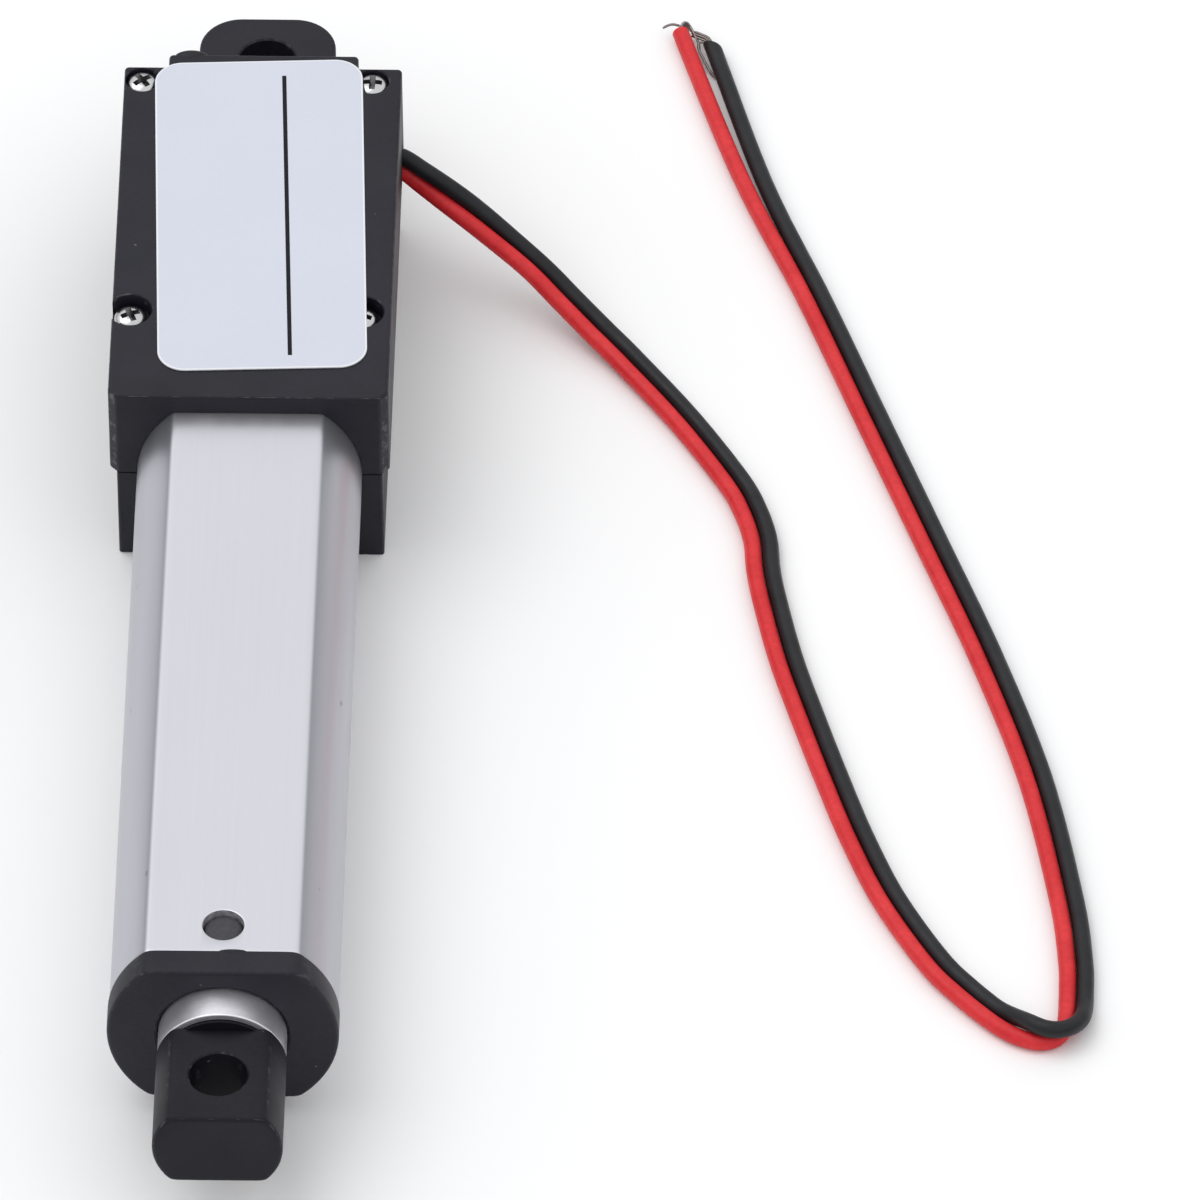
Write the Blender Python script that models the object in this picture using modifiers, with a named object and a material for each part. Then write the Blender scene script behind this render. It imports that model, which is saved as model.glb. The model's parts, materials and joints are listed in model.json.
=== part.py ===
"""Micro linear actuator: an in-line gear motor turns a lead screw, whose nut drives a push rod.

The rod points along -Y and the pin holes stand along Z. Z is up, and z = 0 is the underside of the housing.
Lengths are in millimetres and become metres when a mesh is made.
"""

import math

import bmesh
import bpy
from mathutils import Matrix, Vector

MM = 0.001

# Lengths along the axis, from the tip of the rod end to the tip of the rear eye
STROKE = 50.0
ROD_END_LENGTH = 8.8
ROD_END_HOLE_FROM_TIP = 4.4
ROD_EXPOSED = 2.4
CAP_FLANGE_LENGTH = 2.2
CAP_PLUG_LENGTH = 5.4
FRONT_STOP_GAP = 0.45
NUT_LENGTH = 4.8
REAR_STOP_GAP = 0.2
SCREW_COLLAR_LENGTH = 0.75
TUBE_SOCKET_DEPTH = 8.0
HOUSING_LENGTH = 35.2
SHOULDER_SETBACK = 1.3
EYE_HOLE_BEHIND_HOUSING = 4.2
EYE_TIP_BEYOND_HOLE = 4.3

# Sections across the axis
ROD_DIAMETER = 9.0
ROD_TO_TUBE_GAP = 0.7
TUBE_WALL = 0.8
CAP_OVERHANG = 0.1
ROD_WALL = 0.5
ROD_END_DIAMETER = 9.1
ROD_END_FLATS = 6.3
PIN_HOLE_DIAMETER = 4.1
EYE_WIDTH = 9.8
EYE_THICKNESS = 6.3
EYE_CORNER_RADIUS = 3.0
SCREW_DIAMETER = 4.0

# Housing halves
BASE_FLOOR = 2.0
COVER_ROOF = 1.6
COVER_SIDE_WALL = 1.95
BASE_SIDE_STEP = 0.5
PARTING_GAP = 0.1
CORNER_CHAMFER = 0.6
TAIL_HALF_WIDTH = 6.8
EDGE_ROUND = 0.25
SCREW_FROM_SIDE = 1.7
SCREW_LINE_SHIFT = -0.4
FRONT_SCREW_FROM_FRONT = 8.85
REAR_SCREW_FROM_REAR = 2.65
SCREW_HEAD_DIAMETER = 2.2
SCREW_HEAD_HEIGHT = 0.9
FRONT_HEAD_SINK = 0.4
REAR_HEAD_SINK = 0.05
FRONT_COUNTERBORE_DIAMETER = 3.1
REAR_COUNTERBORE_DIAMETER = 2.42
SCREW_SHANK_DIAMETER = 1.2
SCREW_LENGTH = 10.5
CROSS_RECESS_WIDTH = 0.36
CROSS_RECESS_LENGTH = 1.4
CROSS_RECESS_DEPTH = 0.45
GATE_MARK_X = -5.2
GATE_MARK_HALF_SIZE = (1.25, 0.6, 0.5)
GATE_MARK_BELOW_TOP = 0.4

# Label on the cover
LABEL_WIDTH = 14.9
LABEL_THICKNESS = 0.12
LABEL_CORNER_RADIUS = 2.0
LABEL_FRONT_MARGIN = 2.8
LABEL_REAR_MARGIN = 0.8
LABEL_OFFSET_X = 0.3
LABEL_SKEW_DEG = 2.4
LABEL_GLUE_GAP = 0.02

# Front cap fittings
LATCH_HOLE_DIAMETER = 2.95
LATCH_HOLE_FROM_TUBE_END = 2.7
LATCH_PEG_CLEARANCE = 0.12
LATCH_PEG_SINK = 0.3
SEAL_SECTION = 0.7
SEAL_FROM_CAP_FACE = 1.1
SEAL_GROOVE_CLEARANCE = 0.06

# Running and seating clearances, each measured on the radius or on one face
RUNNING_FIT = 0.08
SLIDING_FIT = 0.07
SEAT_FIT = 0.05
PRESS_SEAT = 0.02

# Bearing of the lead screw
BEARING_OUTER_DIAMETER = 8.0
BEARING_LENGTH = 2.5
BEARING_SEAT_GAP = 0.25
RACE_THICKNESS = 0.65
SHIELD_THICKNESS = 0.2
SHIELD_GAP = 0.12
BEARING_WEB_THICKNESS = 0.5

# Gear train: four equal stages on two axes
GEAR_MODULE = 0.25
PINION_TEETH = 8
WHEEL_TEETH = 18
PROFILE_SHIFT = 0.3
ADDENDUM = 0.8
DEDENDUM = 1.05
PRESSURE_ANGLE = math.radians(20)
BACKLASH = 0.03
GEAR_FACE = 1.5
GEAR_GAP = 0.25
GEAR_PLATE_THICKNESS = 0.8
GEAR_PLATE_GAP = 0.2
IDLER_SHAFT_DIAMETER = 0.9
OUTPUT_SHAFT_DIAMETER = 2.0
MOTOR_SHAFT_DIAMETER = 0.8
POST_DIAMETER = 1.6
POST_INSET = 1.4

# Motor
MOTOR_DIAMETER = 12.0
MOTOR_FLAT_DEPTH = 1.0
MOTOR_GAP = 0.1
MOTOR_BOSS_DIAMETER = 3.2
MOTOR_BOSS_LENGTH = 0.6
MOTOR_CAP_LENGTH = 1.4
TERMINAL_THICKNESS = 0.3
TERMINAL_WIDTH = 0.9
TERMINAL_REACH = 1.0

# Rear eye inside the housing
EYE_FLANGE_LENGTH = 1.4
EYE_FLANGE_WIDTH = 13.0
EYE_FLANGE_HEIGHT = 9.0
SCREW_NOTCH_CLEARANCE = 0.3

# Limit contacts beside the nut
BOARD_THICKNESS = 0.7
BOARD_HEIGHT = 5.2
BOARD_FROM_BORE = 0.25
ROD_TO_CONTACT_GAP = 0.845
BOARD_END_GAP = 0.3
CONTACT_THICKNESS = 0.4
CONTACT_HEIGHT = 2.2
CONTACT_LENGTH = 3.2
CONTACT_INSET = 1.0
CONTACT_CLEARANCE = 0.15

# Leads
LEAD_DIAMETER = 1.2
LEAD_PITCH = 1.26
LEAD_SPACING = 2.95
LEAD_FINE_SPACING = 1.25
LEAD_SLOT_CLEARANCE = 0.22
LEAD_SLOT_BEFORE_TERMINALS = 0.45
LEAD_EXIT_RISE = 1.0
STRAND_DIAMETER = 0.45
STRAND_GAP = 0.02
TWIST_SETTLES_AT = 15.0
CROSSING_REACH = 5.5
ENDS_PART_OVER = 15.0
ENDS_PART_BY = 0.3
BLACK_LEAD_SHORTER = 2.2

# Centreline of the pair of leads, from the motor to the two bare ends, chosen by hand
LEAD_ROUTE = [
    (7.25, 42.75, 9.00),
    (8.60, 42.75, 9.00),
    (9.90, 42.60, 8.95),
    (11.50, 41.85, 8.20),
    (14.60, 40.25, 6.65),
    (17.30, 38.85, 5.00),
    (19.75, 37.30, 3.60),
    (21.95, 35.40, 2.40),
    (24.10, 33.30, 1.50),
    (26.30, 30.90, 0.90),
    (30.50, 25.10, 0.62),
    (34.10, 19.00, 0.62),
    (35.40, 16.00, 0.62),
    (36.20, 13.00, 0.62),
    (36.50, 9.90, 0.62),
    (37.00, 6.90, 0.62),
    (38.30, 0.90, 0.62),
    (40.00, -5.10, 0.62),
    (41.80, -11.10, 0.62),
    (43.70, -17.00, 0.62),
    (46.00, -22.90, 0.62),
    (49.15, -28.80, 0.62),
    (51.30, -31.70, 0.62),
    (54.00, -34.60, 0.62),
    (56.10, -36.30, 0.62),
    (57.50, -36.70, 0.62),
    (58.60, -36.10, 0.62),
    (59.20, -34.60, 0.62),
    (59.30, -31.60, 0.62),
    (59.20, -28.70, 0.62),
    (58.50, -22.80, 0.62),
    (56.15, -10.90, 0.62),
    (52.55, 1.10, 0.62),
    (48.30, 13.10, 0.62),
    (43.95, 25.30, 0.62),
    (39.60, 37.55, 0.62),
    (34.90, 49.90, 0.62),
    (30.07, 66.07, 0.62),
]

# Sections that follow from the walls and gaps
BOARD_INNER_X = ROD_DIAMETER / 2 + ROD_TO_CONTACT_GAP + CONTACT_THICKNESS
BOARD_OUTER_X = BOARD_INNER_X + BOARD_THICKNESS
BORE_RADIUS = math.hypot(BOARD_OUTER_X, BOARD_HEIGHT / 2) + BOARD_FROM_BORE
BORE_HALF_HEIGHT = ROD_DIAMETER / 2 + ROD_TO_TUBE_GAP
TUBE_DIAMETER = 2 * (BORE_RADIUS + TUBE_WALL)
TUBE_FLATS = 2 * (BORE_HALF_HEIGHT + TUBE_WALL)
AXIS_HEIGHT = BASE_FLOOR + TUBE_FLATS / 2
HOUSING_HEIGHT = AXIS_HEIGHT + TUBE_FLATS / 2 + COVER_ROOF
COVER_HALF_WIDTH = TUBE_DIAMETER / 2 + COVER_SIDE_WALL
BASE_HALF_WIDTH = COVER_HALF_WIDTH - BASE_SIDE_STEP
LABEL_LENGTH = HOUSING_LENGTH - LABEL_FRONT_MARGIN - LABEL_REAR_MARGIN

# Stations along Y
TUBE_LENGTH = (
    CAP_PLUG_LENGTH + FRONT_STOP_GAP + STROKE + NUT_LENGTH + REAR_STOP_GAP + SCREW_COLLAR_LENGTH
)
TUBE_VISIBLE = TUBE_LENGTH - TUBE_SOCKET_DEPTH
OVERALL_LENGTH = (
    ROD_END_LENGTH + ROD_EXPOSED + CAP_FLANGE_LENGTH + TUBE_VISIBLE + HOUSING_LENGTH
    + EYE_HOLE_BEHIND_HOUSING + EYE_TIP_BEYOND_HOLE
)
TIP_Y = -OVERALL_LENGTH / 2
ROD_END_HOLE_Y = TIP_Y + ROD_END_HOLE_FROM_TIP
ROD_FRONT_Y = TIP_Y + ROD_END_LENGTH
CAP_FRONT_Y = ROD_FRONT_Y + ROD_EXPOSED
TUBE_FRONT_Y = CAP_FRONT_Y + CAP_FLANGE_LENGTH
TUBE_REAR_Y = TUBE_FRONT_Y + TUBE_LENGTH
HOUSING_FRONT_Y = TUBE_FRONT_Y + TUBE_VISIBLE
HOUSING_REAR_Y = HOUSING_FRONT_Y + HOUSING_LENGTH
SHOULDER_Y = HOUSING_REAR_Y - SHOULDER_SETBACK
EYE_HOLE_Y = HOUSING_REAR_Y + EYE_HOLE_BEHIND_HOUSING
EYE_TIP_Y = EYE_HOLE_Y + EYE_TIP_BEYOND_HOLE
COLLAR_FRONT_Y = TUBE_REAR_Y - SCREW_COLLAR_LENGTH
NUT_REAR_Y = COLLAR_FRONT_Y - REAR_STOP_GAP
NUT_FRONT_Y = NUT_REAR_Y - NUT_LENGTH
BEARING_FRONT_Y = TUBE_REAR_Y + BEARING_SEAT_GAP
BEARING_REAR_Y = BEARING_FRONT_Y + BEARING_LENGTH
WEB_REAR_Y = BEARING_REAR_Y + BEARING_WEB_THICKNESS
FRONT_PLATE_Y = WEB_REAR_Y + GEAR_PLATE_GAP
GEARS_START_Y = FRONT_PLATE_Y + GEAR_PLATE_THICKNESS + GEAR_GAP
STAGES = 4
REAR_PLATE_Y = GEARS_START_Y + STAGES * (GEAR_FACE + GEAR_GAP)
MOTOR_FRONT_Y = REAR_PLATE_Y + GEAR_PLATE_THICKNESS + MOTOR_GAP
EYE_FLANGE_REAR_Y = SHOULDER_Y - SEAT_FIT
EYE_FLANGE_FRONT_Y = EYE_FLANGE_REAR_Y - EYE_FLANGE_LENGTH
MOTOR_REAR_Y = EYE_FLANGE_FRONT_Y - 2 * MOTOR_GAP
MOTOR_CAP_Y = MOTOR_REAR_Y - MOTOR_CAP_LENGTH
POCKET_REAR_Y = EYE_FLANGE_FRONT_Y - SEAT_FIT

# Values that follow from the sections and stations
PARTING_Z = AXIS_HEIGHT
ROD_BORE_RADIUS = ROD_DIAMETER / 2 - ROD_WALL
AXIS_DISTANCE = GEAR_MODULE * (PINION_TEETH + WHEEL_TEETH) / 2
SCREW_X = COVER_HALF_WIDTH - SCREW_FROM_SIDE
MOTOR_FLATS = MOTOR_DIAMETER - 2 * MOTOR_FLAT_DEPTH
POCKET_HALF_WIDTH = MOTOR_DIAMETER / 2 + 2 * SEAT_FIT
POCKET_HALF_HEIGHT = MOTOR_FLATS / 2 + 2 * SEAT_FIT
CONTACT_INNER_X = BOARD_INNER_X - CONTACT_THICKNESS
NUT_SIDE_X = CONTACT_INNER_X - CONTACT_CLEARANCE
GEAR_PLATE_WIDTH = MOTOR_DIAMETER
GEAR_PLATE_HEIGHT = MOTOR_FLATS
POST_X = -(GEAR_PLATE_WIDTH / 2 - POST_INSET)
POST_RISE = GEAR_PLATE_HEIGHT / 2 - POST_INSET
TERMINAL_Y = (MOTOR_CAP_Y + MOTOR_REAR_Y) / 2
LEAD_EXIT_Z = AXIS_HEIGHT + LEAD_EXIT_RISE

ARC_STEPS = 10
TURN_STEPS = 40
SMALL_TURN_STEPS = 16


def start():
    """Empty the scene and make the two collections."""
    for obj in list(bpy.data.objects):
        bpy.data.objects.remove(obj, do_unlink=True)
    parts = bpy.data.collections.new("micro_linear_actuator")
    cutters = bpy.data.collections.new("cutters")
    for collection in (parts, cutters):
        bpy.context.scene.collection.children.link(collection)
    return parts, cutters


PARTS, CUTTERS = start()


def material(name, colour, roughness, metallic=0.0):
    """Return the named Principled material."""
    made = bpy.data.materials.get(name) or bpy.data.materials.new(name)
    made.use_nodes = True
    shader = made.node_tree.nodes["Principled BSDF"]
    shader.inputs["Base Color"].default_value = (*colour, 1.0)
    shader.inputs["Roughness"].default_value = roughness
    shader.inputs["Metallic"].default_value = metallic
    return made


MATERIALS = {
    "black_plastic": material("black_plastic", (0.035, 0.035, 0.040), 0.55),
    "silver_anodised": material("silver_anodised", (0.72, 0.72, 0.76), 0.38, 0.9),
    "polished_aluminium": material("polished_aluminium", (0.70, 0.70, 0.72), 0.25, 1.0),
    "brushed_steel": material("brushed_steel", (0.60, 0.60, 0.62), 0.32, 1.0),
    "bright_steel": material("bright_steel", (0.75, 0.75, 0.76), 0.22, 1.0),
    "brass": material("brass", (0.72, 0.53, 0.22), 0.30, 1.0),
    "white_nylon": material("white_nylon", (0.80, 0.79, 0.74), 0.50),
    "label_film": material("label_film", (0.72, 0.76, 0.86), 0.45),
    "rubber": material("rubber", (0.02, 0.02, 0.02), 0.70),
    "circuit_board": material("circuit_board", (0.03, 0.22, 0.09), 0.50),
    "red_wire": material("red_wire", (0.66, 0.02, 0.03), 0.45),
    "black_wire": material("black_wire", (0.03, 0.03, 0.03), 0.45),
    "tinned_copper": material("tinned_copper", (0.55, 0.52, 0.50), 0.35, 1.0),
}


def place(name, mesh, finish=None, location=(0, 0, 0), rotation=(0, 0, 0)):
    """Link a mesh as a part, or as a cutter when it has no finish."""
    obj = bpy.data.objects.new(name, mesh)
    obj.location = Vector(location) * MM
    obj.rotation_euler = rotation
    if finish:
        mesh.materials.clear()
        mesh.materials.append(MATERIALS[finish])
        PARTS.objects.link(obj)
    else:
        CUTTERS.objects.link(obj)
        obj.hide_render = True
        obj.display_type = "WIRE"
    return obj


def smooth(obj, angle=35):
    """Shade a round piece smooth, with its corners kept sharp."""
    obj.data.shade_smooth()
    obj.data.set_sharp_from_angle(angle=math.radians(angle))
    return obj


def flat_mesh(name, outlines, thickness):
    """Fill closed outlines, holes included, and extrude them into a plate centred on its own plane."""
    curve = bpy.data.curves.new(name + "_outline", "CURVE")
    curve.dimensions = "2D"
    curve.fill_mode = "BOTH"
    curve.extrude = thickness / 2 * MM
    for outline in outlines:
        spline = curve.splines.new("POLY")
        spline.points.add(len(outline) - 1)
        for point, (x, y) in zip(spline.points, outline):
            point.co = (x * MM, y * MM, 0, 1)
        spline.use_cyclic_u = True
    holder = bpy.data.objects.new(name + "_outline", curve)
    bpy.context.scene.collection.objects.link(holder)
    graph = bpy.context.evaluated_depsgraph_get()
    mesh = bpy.data.meshes.new_from_object(holder.evaluated_get(graph))
    bpy.data.objects.remove(holder, do_unlink=True)
    bpy.data.curves.remove(curve)
    mesh.name = name
    edit = bmesh.new()
    edit.from_mesh(mesh)
    bmesh.ops.remove_doubles(edit, verts=edit.verts, dist=1e-7)
    bmesh.ops.recalc_face_normals(edit, faces=edit.faces)
    edit.to_mesh(mesh)
    edit.free()
    return mesh


UPRIGHT = (math.pi / 2, 0, 0)


def cross_plate(name, outlines, front_y, rear_y, finish=None, x=0.0, z=AXIS_HEIGHT):
    """A prism along Y whose outlines are drawn in X and Z about the point (x, z)."""
    mesh = flat_mesh(name, outlines, rear_y - front_y)
    return place(name, mesh, finish, (x, (front_y + rear_y) / 2, z), UPRIGHT)


def plan_plate(name, outlines, low_z, high_z, finish=None, x=0.0, y=0.0, turn=0.0):
    """A prism along Z whose outlines are drawn in X and Y."""
    mesh = flat_mesh(name, outlines, high_z - low_z)
    return place(name, mesh, finish, (x, y, (low_z + high_z) / 2), (0, 0, turn))


def turned(name, profile, finish=None, x=0.0, z=AXIS_HEIGHT, closed=False, steps=TURN_STEPS):
    """A turned piece on an axis along Y. The profile lists (radius, y) and runs rearward on its outer side."""
    mesh = bpy.data.meshes.new(name)
    verts = [(radius * MM, 0, -y * MM) for radius, y in profile]
    edges = [(i, i + 1) for i in range(len(verts) - 1)]
    if closed:
        edges.append((len(verts) - 1, 0))
    mesh.from_pydata(verts, edges, [])
    obj = place(name, mesh, finish, (x, 0, z), UPRIGHT)
    screw = obj.modifiers.new("turn", "SCREW")
    screw.steps = steps
    screw.render_steps = steps
    screw.use_merge_vertices = True
    screw.merge_threshold = 1e-6
    screw.use_smooth_shade = False
    return obj


def rod_shape(name, radius, front_y, rear_y, finish=None, x=0.0, z=AXIS_HEIGHT, steps=TURN_STEPS):
    """A plain cylinder along Y."""
    profile = [(0, front_y), (radius, front_y), (radius, rear_y), (0, rear_y)]
    return turned(name, profile, finish, x, z, steps=steps)


def ring_shape(name, inner, outer, front_y, rear_y, finish=None, x=0.0, z=AXIS_HEIGHT, steps=TURN_STEPS):
    """A plain tube along Y."""
    profile = [(outer, front_y), (outer, rear_y), (inner, rear_y), (inner, front_y)]
    return turned(name, profile, finish, x, z, closed=True, steps=steps)


def block(name, low, high, finish=None):
    """A box between two corners."""
    size = [b - a for a, b in zip(low, high)]
    middle = [(a + b) / 2 for a, b in zip(low, high)]
    mesh = bpy.data.meshes.new(name)
    edit = bmesh.new()
    bmesh.ops.create_cube(edit, size=1.0)
    bmesh.ops.scale(edit, vec=[s * MM for s in size], verts=edit.verts)
    edit.to_mesh(mesh)
    edit.free()
    return place(name, mesh, finish, middle)


def pin(name, radius, low_z, high_z, x, y, finish=None, steps=24, top_radius=None):
    """A cylinder or cone along Z."""
    mesh = bpy.data.meshes.new(name)
    edit = bmesh.new()
    bmesh.ops.create_cone(
        edit, cap_ends=True, segments=steps, radius1=radius * MM,
        radius2=(radius if top_radius is None else top_radius) * MM, depth=(high_z - low_z) * MM,
    )
    edit.to_mesh(mesh)
    edit.free()
    return place(name, mesh, finish, (x, y, (low_z + high_z) / 2))


def boolean(obj, other, operation="DIFFERENCE"):
    """Cut or join with another object, which stays as a hidden tool."""
    step = obj.modifiers.new(operation.lower() + "_" + other.name, "BOOLEAN")
    step.operation = operation
    step.solver = "EXACT"
    step.object = other
    return obj


def round_edges(obj, width, segments=2, sharp_z=None):
    """Round the sharp edges, all but those that lie at the height sharp_z."""
    edit = bmesh.new()
    edit.from_mesh(obj.data)
    weight = edit.edges.layers.float.new("bevel_weight_edge")
    bpy.context.view_layer.update()
    for edge in edit.edges:
        heights = [(obj.matrix_world @ vert.co).z / MM for vert in edge.verts]
        kept = sharp_z is not None and max(abs(z - sharp_z) for z in heights) < SEAT_FIT
        if edge.calc_face_angle(0) > math.radians(30) and not kept:
            edge[weight] = 1.0
    edit.to_mesh(obj.data)
    edit.free()
    bevel = obj.modifiers.new("rounding", "BEVEL")
    bevel.width = width * MM
    bevel.segments = segments
    bevel.limit_method = "WEIGHT"
    bevel.use_clamp_overlap = True
    return obj


def double_d(radius, half_height, side_x=None, steps=ARC_STEPS):
    """A circle cut by two flats, and by an upright at side_x when one is given."""
    reach = math.asin(half_height / radius)
    limit = radius if side_x is None else side_x
    sweep = [-reach + 2 * reach * i / steps for i in range(steps + 1)]
    points = [(-radius * math.cos(a), -radius * math.sin(a)) for a in sweep]
    points += [(min(radius * math.cos(a), limit), radius * math.sin(a)) for a in sweep]
    return points


def circle(radius, steps=SMALL_TURN_STEPS, x=0.0, y=0.0):
    """A circle as a closed outline."""
    turn = 2 * math.pi / steps
    return [(x + radius * math.cos(i * turn), y + radius * math.sin(i * turn)) for i in range(steps)]


def rounded_rectangle(half_x, half_y, radius, steps=5):
    """A rectangle with round corners about the origin."""
    points = []
    for corner, (sx, sy) in enumerate([(1, 1), (-1, 1), (-1, -1), (1, -1)]):
        for i in range(steps + 1):
            angle = math.pi / 2 * (corner + i / steps)
            points.append((
                sx * (half_x - radius) + radius * math.cos(angle),
                sy * (half_y - radius) + radius * math.sin(angle),
            ))
    return points


def gear_outline(teeth, shift, phase):
    """Involute teeth: base tangent length grows with the angle unrolled, and the root is joined straight."""
    pitch_radius = GEAR_MODULE * teeth / 2
    base_radius = pitch_radius * math.cos(PRESSURE_ANGLE)
    tip_radius = GEAR_MODULE * (teeth / 2 + ADDENDUM + shift)
    root_radius = GEAR_MODULE * (teeth / 2 - DEDENDUM + shift)
    involute = math.tan(PRESSURE_ANGLE) - PRESSURE_ANGLE
    half_pitch = (math.pi / 2 + 2 * shift * math.tan(PRESSURE_ANGLE)) / teeth
    half_pitch -= BACKLASH / (2 * pitch_radius)

    def half_angle(radius):
        unrolled = math.acos(min(1.0, base_radius / radius))
        return half_pitch + involute - (math.tan(unrolled) - unrolled)

    start_radius = max(base_radius, root_radius)
    flank = [start_radius, (start_radius + tip_radius) / 2, tip_radius]
    profile = [(radius, -half_angle(radius)) for radius in flank]
    if root_radius < start_radius:
        profile.insert(0, (root_radius, -half_angle(start_radius)))
    profile += [(radius, -angle) for radius, angle in reversed(profile)]
    points = []
    for tooth in range(teeth):
        middle = phase + 2 * math.pi * tooth / teeth
        for radius, angle in profile:
            points.append((radius * math.cos(middle + angle), radius * math.sin(middle + angle)))
    return points


def pinion_outline():
    """The small gear, with a tooth on the line of centres."""
    return gear_outline(PINION_TEETH, PROFILE_SHIFT, 0.0)


def wheel_outline():
    """The large gear, with a gap on the line of centres."""
    return gear_outline(WHEEL_TEETH, -PROFILE_SHIFT, math.pi / WHEEL_TEETH)


def layer(number):
    """Front and rear of one gear layer; layer 0 is next to the front plate."""
    front = GEARS_START_Y + number * (GEAR_FACE + GEAR_GAP)
    return front, front + GEAR_FACE


def housing_outline(half_width, chamfer):
    """Plan of a housing half: front corners, chamfered or square, and a tail behind the shoulders."""
    corner = [(half_width - chamfer, HOUSING_FRONT_Y), (half_width, HOUSING_FRONT_Y + chamfer)]
    right = (corner if chamfer else corner[:1]) + [
        (half_width, SHOULDER_Y),
        (TAIL_HALF_WIDTH, SHOULDER_Y),
        (TAIL_HALF_WIDTH, HOUSING_REAR_Y),
    ]
    return right + [(-x, y) for x, y in reversed(right)]


def screw_places():
    """The four cover screws by name: x, y, depth of the head below the top, and counterbore radius."""
    front = (HOUSING_FRONT_Y + FRONT_SCREW_FROM_FRONT, FRONT_HEAD_SINK, FRONT_COUNTERBORE_DIAMETER / 2)
    rear = (HOUSING_REAR_Y - REAR_SCREW_FROM_REAR, REAR_HEAD_SINK, REAR_COUNTERBORE_DIAMETER / 2)
    return {
        "front_left": (SCREW_LINE_SHIFT - SCREW_X, *front),
        "front_right": (SCREW_LINE_SHIFT + SCREW_X, *front),
        "rear_left": (SCREW_LINE_SHIFT - SCREW_X, *rear),
        "rear_right": (SCREW_LINE_SHIFT + SCREW_X, *rear),
    }


def housing_cavity():
    """Cutters shared by both halves: tube socket, bearing seat, motor pocket, eye slot and lead slot."""
    cut = BORE_RADIUS  # the socket's arc is finer than the bore's so that the tube seats evenly
    socket = cross_plate(
        "cut_tube_socket",
        [double_d(TUBE_DIAMETER / 2 + SEAT_FIT, TUBE_FLATS / 2 + SEAT_FIT, steps=16)],
        HOUSING_FRONT_Y - cut, TUBE_REAR_Y + SEAT_FIT,
    )
    seat = rod_shape(
        "cut_bearing_seat", BEARING_OUTER_DIAMETER / 2 + SEAT_FIT, TUBE_REAR_Y - cut / 2, WEB_REAR_Y + cut / 8
    )
    pocket = block(
        "cut_motor_pocket",
        (-POCKET_HALF_WIDTH, WEB_REAR_Y, AXIS_HEIGHT - POCKET_HALF_HEIGHT),
        (POCKET_HALF_WIDTH, POCKET_REAR_Y, AXIS_HEIGHT + POCKET_HALF_HEIGHT),
    )
    half_flange = EYE_FLANGE_WIDTH / 2 + SEAT_FIT
    flange = block(
        "cut_eye_flange",
        (-half_flange, POCKET_REAR_Y - SEAT_FIT, AXIS_HEIGHT - EYE_FLANGE_HEIGHT / 2 - SEAT_FIT),
        (half_flange, EYE_FLANGE_REAR_Y + SEAT_FIT, AXIS_HEIGHT + EYE_FLANGE_HEIGHT / 2 + SEAT_FIT),
    )
    neck = block(
        "cut_eye_neck",
        (-EYE_WIDTH / 2 - SEAT_FIT, EYE_FLANGE_REAR_Y, AXIS_HEIGHT - EYE_THICKNESS / 2 - SEAT_FIT),
        (EYE_WIDTH / 2 + SEAT_FIT, HOUSING_REAR_Y + cut, AXIS_HEIGHT + EYE_THICKNESS / 2 + SEAT_FIT),
    )
    slot_y = TERMINAL_Y - LEAD_SLOT_BEFORE_TERMINALS
    half_y = LEAD_DIAMETER / 2 + LEAD_SLOT_CLEARANCE
    half_z = (LEAD_DIAMETER + LEAD_PITCH) / 2 + LEAD_SLOT_CLEARANCE
    slot = block(
        "cut_lead_slot",
        (POCKET_HALF_WIDTH - SEAT_FIT, slot_y - half_y, LEAD_EXIT_Z - half_z),
        (COVER_HALF_WIDTH + cut / 4, slot_y + half_y, LEAD_EXIT_Z + half_z),
    )
    return [socket, seat, pocket, flange, neck, slot]


def make_gate_mark():
    """The low round mark that moulding leaves on the rear edge of the cover."""
    mesh = bpy.data.meshes.new("gate_mark")
    edit = bmesh.new()
    bmesh.ops.create_uvsphere(edit, u_segments=16, v_segments=8, radius=1.0)
    edit.transform(Matrix.Diagonal((*(half * MM for half in GATE_MARK_HALF_SIZE), 1.0)))
    edit.to_mesh(mesh)
    edit.free()
    return place(
        "gate_mark", mesh, location=(GATE_MARK_X, HOUSING_REAR_Y, HOUSING_HEIGHT - GATE_MARK_BELOW_TOP)
    )


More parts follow.
